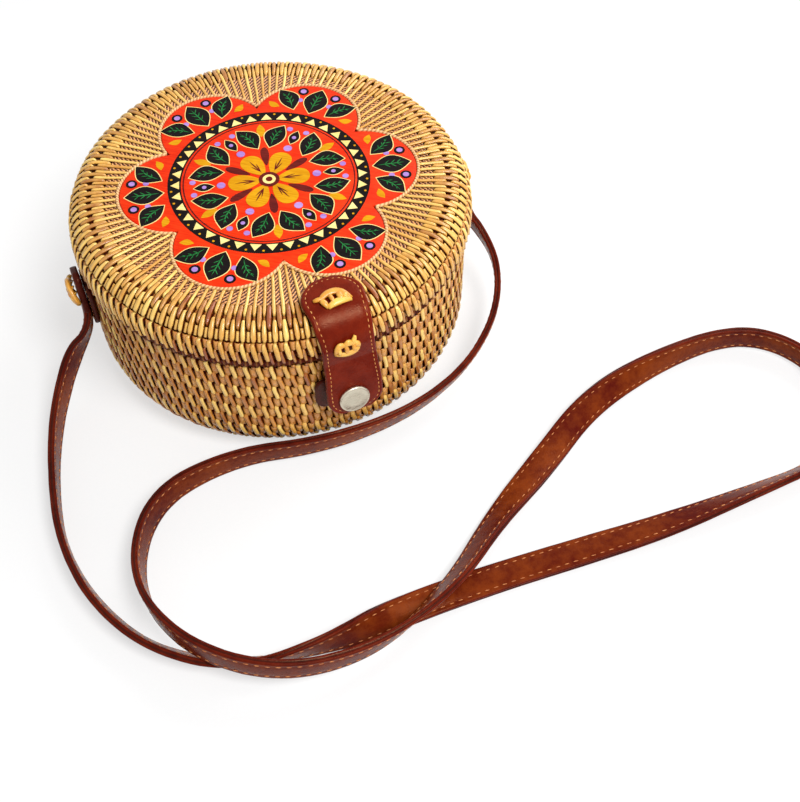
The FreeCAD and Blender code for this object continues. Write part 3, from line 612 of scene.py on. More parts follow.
# weave: light and brown strands side by side, over and under flat weavers. Spans and rows are in mm down the line
# of the wall. Slides: middle and pitch of a strand's lean aside, then where that starts and how softly
lidLow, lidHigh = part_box("lid_basket")
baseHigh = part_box("base_basket")[1]
plaqueLow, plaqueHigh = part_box("painted_plaque")
lidSet = {"front": math.radians(-108), "radius": lidHigh.x, "top": lidHigh.z, "foot": lidLow.z, "edge": 13 * mm,
          "pairs": 123, "light": 2.05 * mm, "brown": 1.8 * mm, "thick": 1.5 * mm, "dive": 2.1 * mm,
          "ramp": 1.5, "taper": 2.2, "inlay": 1.3 * mm, "brownStart": -7.0 * mm, "clear": 0.1 * mm,
          "lightOver": [(-60, 2.0), (2.6, 14.3), (13.5, 25.0)], "brownOver": [(-5.2, 8.6), (18.0, 27.0)],
          "lightSlide": (19.4, 22, 12.8, 2), "brownSlide": (24.5, 26, 12, 6),
          "weavers": [(1.4, 3.2, 1, 0.6), (14.2, 18.7, -1, 0.0), (20.0, 24.2, 1, 0.3), (25.0, 29.0, 1, 0.7)],
          "rimWeavers": [(8.6, 13.4, -1, 0.0)], "rimShade": (-0.5, 1.5),
          "coils": [(71.7 - 1.25 * i) * mm for i in range(21)], "coilThick": 0.68 * mm, "coilSunk": 1.55 * mm,
          "coilTuck": 2.1 * mm}
baseSet = {"radius": baseHigh.x, "top": baseHigh.z, "edge": 20 * mm, "pairs": 98, "light": 2.25 * mm,
           "brown": 2.1 * mm, "thick": 1.5 * mm, "dive": 2.1 * mm, "ramp": 2.0, "taper": 1.0, "row": 6.9,
           "float": 9.9, "lead": 0.8, "weaver": 2.95, "inner": 45 * mm, "clear": 0.1 * mm,
           "coils": [(1.2 + 2.0 * i) * mm for i in range(24)], "coilThick": 1.05 * mm, "coilLevel": 1.25 * mm}
plaqueSet = {"lobe": 24.2 * mm, "reach": 41.5 * mm, "turn": math.radians(47.2), "coil": 0.75 * mm,
             "coilSunk": 0.35 * mm, "bevel": 0.5 * mm, "paint": 0.07 * mm}
weaveSet = {"tone": 0.28, "broad": (0.9, 1.08), "low": 0.16, "sway": 0.32 * mm, "slide": 0.6, "sunk": 1.75,
            "wave": 0.6, "weaver": 0.38, "waver": 0.35, "shade": (0.40, 0.55), "shadedBacking": (-2.9, -3.75)}


def lidLine(s):
    # radius, height and outward direction at a length s down from where the top starts to curve
    flat, edge = lidSet["radius"] - lidSet["edge"], lidSet["edge"]
    if s <= 0:
        return flat + s, lidSet["top"], 0.0, 1.0
    bend = min(s / edge, math.pi / 2)
    low = max(0.0, s - edge * math.pi / 2)
    return (flat + edge * math.sin(bend), lidSet["top"] - edge + edge * math.cos(bend) - low,
            math.sin(bend), math.cos(bend))


def baseLine(s):
    # the same down from the base's mouth, round its lower edge and in over the bottom
    side, edge = baseSet["top"] - baseSet["edge"], baseSet["edge"]
    bend = min(max(s - side, 0.0) / edge, math.pi / 2)
    inward = max(0.0, s - side - edge * math.pi / 2)
    return (baseSet["radius"] - edge + edge * math.cos(bend) - inward,
            baseSet["top"] - s if s < side else edge - edge * math.sin(bend), math.cos(bend), -math.sin(bend))


def plaqueEdge(angle, grow=0.0):
    # radius of the lobed board at an angle
    off = (angle - plaqueSet["turn"] + math.pi / 6) % (math.pi / 3) - math.pi / 6
    lobe, reach = plaqueSet["lobe"] + grow, plaqueSet["reach"]
    return reach * math.cos(off) + math.sqrt(lobe ** 2 - (reach * math.sin(off)) ** 2)


def onTop(s, spans, ramp):
    return max([smoothStep(min(s / mm - start, end - s / mm) / ramp) for start, end in spans] + [0.0])


sideShade = [0.2, 0.92, 1.0, 0.92, 0.2, 0.1]  # painted shade: a strand darkens at its sides and underneath


def slideAside(middle, pitch, start, blend):
    return lambda s: weaveSet["slide"] * math.sin(fullTurn * (s - middle) / pitch) * smoothStep((s - start) / blend)


def layStrands(bm, line, spec, width, shift, starts, end, spans, steps, slide, narrow, ease=0.0, dyeAndShade=None):
    pairs, thick = spec["pairs"], spec["thick"]
    # on the lid's brown strands this tone is painted shade, darker towards the front
    tones = [dyeAndShade(fullTurn * i / pairs) if dyeAndShade else 0.5 for i in range(pairs)]
    tones = [tone + chance.uniform(-weaveSet["tone"], weaveSet["tone"]) for tone in tones]
    broad = [chance.uniform(*weaveSet["broad"]) for i in range(pairs)]
    low = [chance.uniform(0.0, weaveSet["low"]) * mm for i in range(pairs)]

    def spot(strip, forward, turn):
        angle = fullTurn * (strip + shift) / pairs
        start = starts(angle)
        if ease:  # fewer steps on the straight inner run
            s = start * (1 - forward / ease) if forward < ease else end * (forward - ease) / (1 - ease)
        else:
            s = start + (end - start) * forward
        radius, level, outR, outZ = line(s)
        top = onTop(s, spans, spec["ramp"])
        tapered = 0.6 + 0.4 * onTop(s, spans, spec["ramp"] * spec["taper"])
        half = width / 2 * broad[strip] * narrow(radius) * tapered
        across, out = pointOf(ovalCane, turn)
        sway = noise.noise(Vector((strip * 3.7 + shift, s * 90, 0))) * weaveSet["sway"] + slide(s / mm) * mm
        out = out * thick / 2 - thick / 2 - spec["dive"] * (1 - top) - low[strip]
        point = onAxis(radius + outR * out, angle, level + outZ * out)
        aside = Vector((-math.sin(angle), math.cos(angle), 0)) * (across * half + sway)
        # painted shade: darker where the strand dives under the weavers, and at its sides
        return point + aside, (0.1 + 0.9 * top) * pointOf(sideShade, turn)
    layStrips(bm, pairs, steps, len(ovalCane), spot, tones, fibre=(width / mm * 2.4, 40.0))


def layWeavers(bm, line, pairs, rows, material=0, shade=weaveSet["shade"]):
    # rows: start, end, -1 over the brown strands or 1 over the light ones, and how much deeper than the rest
    tones = [0.5 + chance.uniform(-0.15, 0.15) for row in rows]

    def spot(strip, forward, turn):
        start, end, over, sunk = rows[strip]
        angle = fullTurn * forward
        across, out = pointOf(flatBand, turn)
        rise = over * math.cos(pairs * angle)
        waver = noise.noise(Vector((math.cos(angle) * 9, math.sin(angle) * 9, strip * 5.0))) * weaveSet["waver"]
        s = ((start + end) / 2 + across * (end - start) / 2 + waver) * mm
        radius, level, outR, outZ = line(s)
        deep = (-weaveSet["sunk"] + weaveSet["wave"] * rise + weaveSet["weaver"] * out - sunk) * mm
        # painted shade: a weaver darkens away from the top of its wave, and more the deeper its row is sunk
        lift = smoothStep(shade[0] + shade[1] * rise - 0.8 * sunk)
        return onAxis(radius + outR * deep, angle, level + outZ * deep), lift
    layStrips(bm, len(rows), pairs * 6, len(flatBand), spot, tones, material, (9.0, 900.0))


def layShadedBacking(bm, line, start, end):
    # a sheet behind the strands in painted shade, showing dark through the gaps
    front, back = weaveSet["shadedBacking"]
    loop = [(start + (end - start) * i / 15, front) for i in range(16)]
    loop += [(s, back) for s, deep in reversed(loop)]

    def spot(strip, forward, turn):
        s, deep = pointOf(loop, turn)
        radius, level, outR, outZ = line(s * mm)
        # its low lift paints it in the gaps' shade
        return onAxis(radius + outR * deep * mm, fullTurn * forward, level + outZ * deep * mm), 0.25
    layStrips(bm, 1, 96, len(loop), spot, [0.3], 0, (60.0, 500.0))


def layCoils(bm, radii, level, thick, steps, tuck=None):
    tones = [0.5 + chance.uniform(-0.2, 0.2) for radius in radii]

    def spot(strip, forward, turn):
        angle, around = fullTurn * forward, fullTurn * turn
        radius = radii[strip] + thick * math.cos(around)
        height = level + thick * math.sin(around) - (tuck(angle, radius) if tuck else 0.0)
        return onAxis(radius, angle, height), 1.0
    layStrips(bm, len(radii), steps, 6, spot, tones, fibre=(1.8, 250.0))


def makeLid(spec):
    flat = spec["radius"] - spec["edge"]
    end = spec["edge"] * math.pi / 2 + spec["top"] - spec["edge"] - spec["foot"] - spec["clear"]

    def lightWidth(radius):  # slim over the coils, full on the rim
        inner = min(0.82, 0.62 + 0.2 * (radius - 50 * mm) / (28 * mm))
        return inner + 0.3 * smoothStep((radius - 79 * mm) / (8 * mm))

    def brownWidth(radius):
        return 1.15 - 0.3 * smoothStep((radius - 80 * mm) / (6 * mm))

    def brownFrontShade(angle):  # painted shade: darker towards the front
        return 0.58 - 0.42 * smoothStep((math.cos(angle - spec["front"]) - 0.75) / 0.2)

    def tuck(angle, radius):  # the coils go down under the board
        return spec["coilTuck"] * smoothStep((plaqueEdge(angle, 1.0 * mm) - radius) / (0.8 * mm))
    bm = startMesh()
    layStrands(bm, lidLine, spec, spec["light"], 0.0, lambda angle: plaqueEdge(angle, spec["inlay"]) - flat, end,
               spec["lightOver"], 54, slideAside(*spec["lightSlide"]), lightWidth, 0.2)
    finishPiece(bm, "lidLightStrands", [lightCane], "lid", ["lid_basket"])
    bm = startMesh()
    layStrands(bm, lidLine, spec, spec["brown"], 0.5, lambda angle: spec["brownStart"], end,
               spec["brownOver"], 50, slideAside(*spec["brownSlide"]), brownWidth, dyeAndShade=brownFrontShade)
    finishPiece(bm, "lidBrownStrands", [rimCane], "lid", ["lid_basket"])
    bm = startMesh()
    layWeavers(bm, lidLine, spec["pairs"], spec["weavers"])
    layWeavers(bm, lidLine, spec["pairs"], spec["rimWeavers"], 1, spec["rimShade"])
    layShadedBacking(bm, lidLine, -30, end / mm)
    finishPiece(bm, "lidWeavers", [flatCane, lightCane], "lid", ["lid_basket"])
    bm = startMesh()
    layCoils(bm, spec["coils"], spec["top"] - spec["coilSunk"], spec["coilThick"], 246, tuck)
    finishPiece(bm, "lidGroundCoils", [groundCord], "lid", ["lid_basket"])
    print("lid woven")


def makeBase(spec):
    side, edge, row = spec["top"] - spec["edge"], spec["edge"], spec["row"]
    end = side + edge * math.pi / 2 + spec["radius"] - edge - spec["inner"]
    count = int(end / mm / row / 2) + 2

    def slim(radius):
        return max(0.5, radius / spec["radius"])
    for name, first, shift, width, cane in (("baseLightStrands", 0.0, 0.0, spec["light"], lightCane),
                                            ("baseBrownStrands", -row, 0.5, spec["brown"], brownCane)):
        spans = [(first - spec["lead"] + 2 * row * i, first + spec["float"] + 2 * row * i) for i in range(count)]
        middle = first + (spec["float"] - spec["lead"]) / 2
        bm = startMesh()
        layStrands(bm, baseLine, spec, width, shift, lambda angle: spec["clear"], end, spans, 110,
                   lambda s: 0.5 * math.sin(math.pi * (s - middle) / row), slim)
        finishPiece(bm, name, [cane], "base", ["base_basket"])
    rows = []
    for i in range(count * 2 - 1):
        middle = spec["float"] / 2 + row * i
        if middle + 3 < end / mm:
            rows.append((max(0.3, middle - spec["weaver"]), middle + spec["weaver"], 1 if i % 2 else -1, 0.0))
    bm = startMesh()
    layWeavers(bm, baseLine, spec["pairs"], rows)
    layShadedBacking(bm, baseLine, 0.3, end / mm)
    finishPiece(bm, "baseWeavers", [flatCane], "base", ["base_basket"])
    bm = startMesh()
    layCoils(bm, spec["coils"], spec["coilLevel"], spec["coilThick"], 120)
    finishPiece(bm, "baseBottomCoils", [edgeCord], "base", ["base_basket"])
    print("base woven")


makeLid(lidSet)
makeBase(baseSet)


# plaque: a lobed board with a painted rosette, and a thin cord around its edge
paints = {name: paintMaterial(name, light, dark) for name, light, dark in (
    ("paintRed", (238, 62, 20), (214, 38, 10)), ("paintBlack", (22, 14, 14), (9, 6, 6)),
    ("paintOchre", (222, 162, 22), (198, 132, 8)), ("paintCream", (255, 232, 156), (240, 206, 122)),
    ("paintLilac", (184, 148, 212), (152, 112, 188)), ("paintMaroon", (112, 30, 24), (78, 18, 18)),
    ("paintGreen", (48, 138, 70), (26, 98, 46)))}
paintOrder = list(paints)


def leafShape(length, half, bow=0.0, start=0.0):
    # a pointed leaf along x, bowed sideways
    def shape(turn):
        share = (1 - math.cos(turn)) / 2
        swell = math.sin(math.pi * share) * half
        return start + length * share, (swell if math.sin(turn) >= 0 else -swell) + bow * math.sin(math.pi * share)
    return shape


def petalShape(length, half):
    def shape(turn):
        share = (1 - math.cos(turn)) / 2
        return length * share, math.sin(turn) * half * (0.35 + 0.65 * share ** 0.7)
    return shape


def dotShape(radius):
    return lambda turn: (radius * math.cos(turn), radius * math.sin(turn))


def wedgeShape(width, height):
    corners = [Vector((0, -width / 2)), Vector((0, width / 2)), Vector((height, 0))]

    def shape(turn):
        part = turn % fullTurn / fullTurn * 3
        first = int(part) % 3
        return tuple(corners[first].lerp(corners[(first + 1) % 3], part - int(part)))
    return shape


def vertsOf(geometry):
    return [item for item in geometry if isinstance(item, bmesh.types.BMVert)]


def raisePaint(bm, faces, outline, paint):
    # gives flat faces their paint's thickness and colour
    raised = bmesh.ops.extrude_face_region(bm, geom=faces)["geom"]
    bmesh.ops.translate(bm, vec=(0, 0, plaqueSet["paint"]), verts=vertsOf(raised))
    for vert in outline + vertsOf(raised):
        for face in vert.link_faces:
            face.material_index = paintOrder.index(paint)


def paintMotif(bm, shape, radius, angle, turn, paint, level, steps=24, side=0.0):
    # radius and angle place the motif's root on the board, in mm and degrees, turn is its own direction
    made = bmesh.ops.create_circle(bm, cap_ends=True, segments=steps, radius=1)["verts"]
    root = Matrix.Rotation(math.radians(angle), 4, "Z") @ Matrix.Translation((radius, side, 0))
    root = root @ Matrix.Rotation(math.radians(turn), 4, "Z")
    for vert in made:
        x, y = shape(math.atan2(vert.co.y, vert.co.x))
        vert.co = (root @ Vector((x, y, 0))) * mm + Vector((0, 0, level))
    raisePaint(bm, [made[0].link_faces[0]], made, paint)


def paintBand(bm, inner, outer, paint, level):
    place = Matrix.Translation((0, 0, level))
    outline = []
    for size in (inner, outer):
        outline += bmesh.ops.create_circle(bm, segments=144, radius=size * mm, matrix=place)["verts"]
    edges = {edge for vert in outline for edge in vert.link_edges}
    raisePaint(bm, bmesh.ops.bridge_loops(bm, edges=list(edges))["faces"], outline, paint)


def paintLeaf(bm, length, half, bow, radius, angle, turn, side, level):
    # a black leaf with a cream outline and a green vein
    middle, high = level + 0.05 * mm, level + 0.10 * mm
    paintMotif(bm, leafShape(length + 1.0, half + 0.42, bow, -0.5), radius, angle, turn, "paintCream", level, 30, side)
    paintMotif(bm, leafShape(length, half, bow), radius, angle, turn, "paintBlack", middle, 30, side)
    vein = leafShape(length * 0.74, 0.3, bow * 0.8, length * 0.1)
    paintMotif(bm, vein, radius, angle, turn, "paintGreen", high, 14, side)
    turned = Matrix.Rotation(math.radians(turn), 4, "Z")
    for share in (0.3, 0.46, 0.62):
        spot = turned @ Vector((length * share, bow * math.sin(math.pi * share), 0))
        for hand in (-1, 1):
            paintMotif(bm, leafShape(half * 0.62, 0.22), radius + spot.x, angle, turn + hand * 42, "paintGreen",
                       high, 10, side + spot.y)


def paintSector(bm, top):
    # one sixth of the design, with its lobe along x
    low, middle, high = top + 0.01 * mm, top + 0.06 * mm, top + 0.11 * mm
    paintLeaf(bm, 17.0, 5.4, 0.0, 46.4, 0, 0, 0, low)
    for hand in (-1, 1):
        paintLeaf(bm, 15.4, 4.5, -1.5 * hand, 46.6, 0, hand * 46, hand * 7.8, low)
        paintMotif(bm, dotShape(2.5), 59.8, 0, 0, "paintBlack", middle, 20, hand * 8.0)
        paintMotif(bm, dotShape(1.4), 59.8, 0, 0, "paintLilac", high, 18, hand * 8.0)
        paintMotif(bm, dotShape(1.35), 53.6, 0, 0, "paintLilac", middle, 16, hand * 7.2)
        paintMotif(bm, leafShape(6.4, 1.7, hand * 0.6), 46.4, 0, hand * 74, "paintOchre", low, 16, hand * 14.6)
    for i in range(6):
        paintMotif(bm, wedgeShape(5.0, 3.8), 39.5, -25 + 10 * i, 0, "paintCream", middle, 12)
        paintMotif(bm, dotShape(0.55), 43.1, -20 + 10 * i, 0, "paintOchre", middle, 10)
    # inside the band: rosette, leaves and buds
    paintMotif(bm, petalShape(14.5, 6.2), 3.6, 0, 0, "paintOchre", middle, 30)
    paintMotif(bm, leafShape(9.5, 0.35), 5.5, 0, 0, "paintMaroon", high, 12)
    paintMotif(bm, petalShape(12.0, 2.4), 9.0, 30, 0, "paintMaroon", low, 22)
    paintMotif(bm, leafShape(8.6, 2.0), 28.0, 30, 0, "paintOchre", low, 18)
    for hand in (-1, 1):
        paintMotif(bm, leafShape(6.0, 0.28), 6.0, 0, hand * 14, "paintMaroon", high, 12)
        paintLeaf(bm, 15.6, 4.7, hand * -1.2, 20.6, 30, hand * 33, hand * 2.6, low)
        paintMotif(bm, dotShape(1.4), 33.4, 0, 0, "paintLilac", middle, 16, hand * 4.0)
    paintMotif(bm, leafShape(9.8, 2.7, 0.0, -0.4), 24.2, 0, 0, "paintCream", middle, 24)
    paintMotif(bm, leafShape(9.0, 2.3), 24.2, 0, 0, "paintBlack", high, 22)
    paintMotif(bm, dotShape(1.0), 28.6, 0, 0, "paintLilac", high + 0.05 * mm, 14)
    paintMotif(bm, dotShape(1.9), 21.2, 0, 0, "paintLilac", middle, 18)


def makePlaque(spec):
    top = plaqueHigh.z
    bm = startMesh()
    made = bmesh.ops.create_circle(bm, cap_ends=True, segments=180, radius=1)["verts"]
    for vert in made:
        angle = math.atan2(vert.co.y, vert.co.x) + spec["turn"]
        vert.co = onAxis(plaqueEdge(angle), angle, top)
    bottom = bmesh.ops.extrude_face_region(bm, geom=list(bm.faces))["geom"]
    bmesh.ops.translate(bm, vec=(0, 0, plaqueLow.z - top), verts=vertsOf(bottom))
    rim = [edge for edge in bm.edges if all(vert.co.z > top - 1e-5 for vert in edge.verts)]
    bmesh.ops.bevel(bm, geom=rim, offset=spec["bevel"], offset_type="OFFSET", segments=2, profile=0.5,
                    affect="EDGES", material=-1)
    finishPiece(bm, "plaqueBoard", [paints["paintRed"]], "lid", ["painted_plaque"])
    bm = startMesh()
    paintSector(bm, top)
    bmesh.ops.spin(bm, geom=bm.verts[:] + bm.edges[:] + bm.faces[:], cent=(0, 0, 0), axis=(0, 0, 1),
                   dvec=(0, 0, 0), angle=math.radians(300), steps=5, use_duplicate=True, use_merge=False)
    paintBand(bm, 38.8, 44.6, "paintBlack", top + 0.01 * mm)
    paintBand(bm, 37.4, 38.0, "paintMaroon", top + 0.01 * mm)
    for radius, paint, level in ((4.6, "paintMaroon", 0.15), (2.9, "paintCream", 0.2), (1.5, "paintMaroon", 0.25)):
        paintMotif(bm, dotShape(radius), 0, 0, 0, paint, top + level * mm, 28)
    bmesh.ops.rotate(bm, cent=(0, 0, 0), matrix=Matrix.Rotation(spec["turn"], 3, "Z"), verts=bm.verts)
    painting = finishPiece(bm, "plaquePainting", list(paints.values()), "lid")
    for face in painting.data.polygons:
        face.use_smooth = False
    bm = startMesh()
    coil = spec["coil"]

    def edgeAt(angle):
        return onAxis(plaqueEdge(angle, coil * 1.15), angle, top - spec["coilSunk"])

    def spot(strip, forward, turn):
        angle, around = fullTurn * forward, fullTurn * turn
        here = edgeAt(angle)
        side = (edgeAt(angle + 0.002) - here).normalized().cross(Vector((0, 0, 1)))
        return here + side * math.cos(around) * coil + Vector((0, 0, math.sin(around) * coil)), 1.0
    layStrips(bm, 1, 480, 8, spot, fibre=(1.0, 260.0))
    finishPiece(bm, "plaqueEdgeCord", [edgeCord], "lid", ["plaque_edge_coil"])
    print("plaque painted")


makePlaque(plaqueSet)


# leather: a sheet with turned edges and a sewn line, carried to its place by surface(across, along, out).
# edge: its half section, in mm in from the edge and in shares of the half thickness
leatherSet = {"inset": 2.0 * mm, "pitch": 2.4 * mm, "stitchRise": 0.44, "endRound": 0.8 * mm, "endThin": 0.35,
              "edge": [(0, 0), (0.2, 0.72), (0.75, 1.0), (1.5, 0.98), (2.0, 0.86), (2.5, 0.98), (4.6, 1.04)]}


def leatherSheet(bm, length, half, corners, thick, surface, steps):
    edge = leatherSet["edge"]
    outline = [(1, inward, out) for inward, out in edge] + [(-1, inward, out) for inward, out in reversed(edge)]
    outline += [(-1, 0.2, -0.72), (-1, 0.75, -1.0), (-1, 4.6, -1.0), (1, 4.6, -1.0), (1, 0.75, -1.0), (1, 0.2, -0.72)]

    def reach(along):
        wide = half(along)
        for corner, inward in zip(corners, (along, length - along)):
            if inward < corner:
                wide -= corner - math.sqrt(max(0.0, corner ** 2 - (corner - inward) ** 2))
        return wide

    def spot(strip, forward, turn):
        along = length * (forward - math.sin(4 * math.pi * forward) / (4 * math.pi) * 0.75)  # closer at the ends
        wide = reach(along)
        side, pulled, out = pointOf(outline, turn)
        near = min(min(along, length - along) / leatherSet["endRound"], 1.0)
        taper = leatherSet["endThin"] + (1 - leatherSet["endThin"]) * math.sqrt(max(0.0, 1 - (1 - near) ** 2))
        across = side * (wide - pulled * mm * min(1.0, wide / (5 * mm)))
        return surface(across, along, out * thick / 2 * taper), 1.0
    cut = 2 * len(edge)  # the outer edges of the section show the cut leather, in the third material: on the flap and hinge, the pale cut edge with its painted highlight
    cutFaces = (0, cut - 1, cut, len(outline) - 1)
    layStrips(bm, 1, steps, len(outline), spot,
              material=lambda turn: 2 if round(turn * len(outline)) in cutFaces else 0)


def sewEdge(bm, length, half, corners, thick, surface, sewEnds=(True, True)):
    # the sewn line, from the middle of the top edge down one side to the middle of the bottom, and its mirror
    inset, rise = leatherSet["inset"], thick * leatherSet["stitchRise"]
    ends = []
    for start, bend, corner, closed in zip((0, length), (corners[0], length - corners[1]), corners, sewEnds):
        turns = [math.pi / 2 * i / 10 for i in range(10)] if closed else []
        ends.append([((half(start) - corner) * i / 4, inset) for i in range(4) if closed] + [
            (half(bend) - corner + (corner - inset) * math.sin(turn), corner - (corner - inset) * math.cos(turn))
            for turn in turns])
    low, high = (corners[0] if sewEnds[0] else inset), length - (corners[1] if sewEnds[1] else inset)
    path = ends[0] + [(half(at) - inset, at) for at in (low + (high - low) * i / 40 for i in range(41))]
    path += [(across, length - along) for across, along in reversed(ends[1])]
    stitches, left = [], leatherSet["pitch"] / 2
    for (a1, l1), (a2, l2) in zip(path, path[1:]):
        run = math.hypot(a2 - a1, l2 - l1)
        while left < run:
            share = left / run
            across, along = a1 + (a2 - a1) * share, l1 + (l2 - l1) * share
            stepA, stepL = (a2 - a1) / run * 0.2 * mm, (l2 - l1) / run * 0.2 * mm
            for hand in (1, -1):
                here = surface(hand * across, along, rise)
                ahead = surface(hand * (across + stepA), along + stepL, rise)
                out = surface(hand * across, along, thick) - here
                stitches.append((here, (ahead - here).normalized(), out.normalized()))
            left += leatherSet["pitch"]
        left -= run
    sewStitches(bm, stitches)


# closure flap: over the lid's edge and down to the snap, one bending piece
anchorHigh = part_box("closure_flap_anchor")[1]
flapSet = {"thick": 2.6 * mm, "apex": anchorHigh.y, "level": anchorHigh.z - 1.3 * mm, "bendY": -77 * mm,
           "bendZ": 74.2 * mm, "bend": 14.6 * mm, "fold": 66.6 * mm, "soft": 2.2 * mm, "lean": math.radians(7.4),
           "tongue": 31 * mm, "drift": 1.2 * mm, "corners": (11.6 * mm, 8.5 * mm),
           "half": [(0, 12.6), (9, 13.6), (21, 12.4), (31, 11.6), (46, 11.9), (60, 12.6), (74, 12.3)]}


def flapSurface(across, along, out):
    spec = flapSet
    head = spec["apex"] - spec["bendY"]
    turned = spec["bend"] * math.pi / 2
    drop = spec["bendZ"] - spec["fold"]
    if along < head:
        y, z, outY, outZ = spec["apex"] - along, spec["level"], 0.0, 1.0
    elif along < head + turned:
        bend = (along - head) / spec["bend"]
        y, z = spec["bendY"] - spec["bend"] * math.sin(bend), spec["bendZ"] + spec["bend"] * math.cos(bend)
        outY, outZ = -math.sin(bend), math.cos(bend)
    else:
        down = along - head - turned
        low = max(0.0, down - drop)
        lean = spec["lean"] * smoothStep((down - drop + 2 * mm) / (4 * mm))
        y = spec["bendY"] - spec["bend"] - low * math.sin(spec["lean"])
        z = spec["bendZ"] - min(down, drop) - low * math.cos(spec["lean"])
        outY, outZ = -math.cos(lean), math.sin(lean)
    aside = spec["drift"] * smoothStep((along - 22 * mm) / (34 * mm))
    return Vector((across + aside, y + outY * out, z + outZ * out))


def makeFlap(spec):
    length = spec["apex"] - spec["bendY"] + spec["bend"] * math.pi / 2 + spec["bendZ"] - spec["fold"] + spec["tongue"]

    def half(at):
        return through(spec["half"], at / mm) * mm
    bm = startMesh()
    leatherSheet(bm, length, half, spec["corners"], spec["thick"], flapSurface, 150)
    sewEdge(bm, length, half, spec["corners"], spec["thick"], flapSurface)
    flap = finishPiece(bm, "closureFlap", [hide, thread, highlitEdgeHide], None,
                       ["closure_flap_anchor", "closure_flap_tongue"])
    foldY = spec["bendY"] - spec["bend"]
    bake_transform(flap, "lid", "flap", start=(0, foldY, spec["fold"] + spec["soft"]),
             end=(0, foldY, spec["fold"] - spec["soft"]))
    print("flap sewn")


makeFlap(flapSet)


# small leather: catch patch, strap tabs, strap ends and the hinge, each width, length, corner and thickness
smallSet = {"patch": (29.5 * mm, 18 * mm, 5 * mm, 1.8 * mm), "tab": (18 * mm, 24 * mm, 5 * mm, 2.2 * mm),
            "end": (13 * mm, 19.5 * mm, 5 * mm, 3.0 * mm), "hinge": (26 * mm, 30 * mm, 5 * mm, 2.4 * mm),
            "endCorner": 0.3 * mm, "axis": Vector((0, 91.5 * mm, 64.3 * mm)), "tilt": math.radians(4.59),
            "soft": Vector((0, 0, 1.8 * mm))}
leftLean, rightLean = math.radians(12), math.radians(35)  # of the strap's two ends


def onWall(radius, facing, top):
    def surface(across, along, out):
        return onAxis(radius + out, facing + across / radius, top - along)
    return surface


def makeSmallLeather(spec):
    for name, node, facing, key in (("catchPatch", "catch_patch", -90, "patch"),
                                    ("leftStrapTab", "left_strap_tab", 180, "tab"),
                                    ("rightStrapTab", "right_strap_tab", 0, "tab")):
        low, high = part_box(node)
        width, length, corner, thick = spec[key]
        outer = max(abs(low.x), abs(high.x)) if key == "tab" else -low.y
        sheet = (length, lambda at: width / 2, (corner, corner), thick,
                 onWall(outer - thick / 2, math.radians(facing), high.z))
        bm = startMesh()
        leatherSheet(bm, *sheet, 40)
        if key == "tab":
            sewEdge(bm, *sheet)
        finishPiece(bm, name, [darkAndShadedHide, thread, darkAndShadedHide], "base", [node])
    width, length, corner, thick = spec["end"]
    for name, node, hand, lean in (("leftStrapEnd", "left_strap_end", -1, leftLean),
                                   ("rightStrapEnd", "right_strap_end", 1, rightLean)):
        low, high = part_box(node)
        middle = (low + high) / 2
        down = Vector((0, -math.sin(lean), -math.cos(lean)))
        sideways = Vector((0, math.cos(lean), -math.sin(lean)))

        def endSurface(across, along, out):
            return middle + down * (along - length / 2) + sideways * across + Vector((hand * out, 0, 0))
        sheet = (length, lambda at: width / 2, (corner, spec["endCorner"]), thick, endSurface)
        bm = startMesh()
        leatherSheet(bm, *sheet, 36)
        sewEdge(bm, *sheet, (True, False))
        finishPiece(bm, name, [darkAndShadedHide, thread, darkAndShadedHide], "base", [node])
    width, lower, corner, thick = spec["hinge"]
    axis, tilt = spec["axis"], spec["tilt"]
    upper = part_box("hinge_upper_leaf")[1].z - axis.z

    def hingeSurface(across, along, out):
        low = max(0.0, along - upper)
        lean = tilt * smoothStep((along - upper + 1.5 * mm) / (3 * mm))
        return Vector((-across, axis.y - low * math.sin(tilt) + out * math.cos(lean),
                       axis.z + upper - min(along, upper) - low * math.cos(tilt) - out * math.sin(lean)))
    sheet = (upper + lower, lambda at: width / 2, (corner, corner), thick, hingeSurface)
    bm = startMesh()
    leatherSheet(bm, *sheet, 80)
    sewEdge(bm, *sheet)
    hinge = finishPiece(bm, "leatherHinge", [darkAndShadedHide, thread, highlitEdgeHide], None,
                        ["hinge_upper_leaf", "hinge_lower_leaf"])
    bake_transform(hinge, "base", "lid", start=axis - spec["soft"], end=axis + spec["soft"])
    print("small leather sewn")


makeSmallLeather(smallSet)


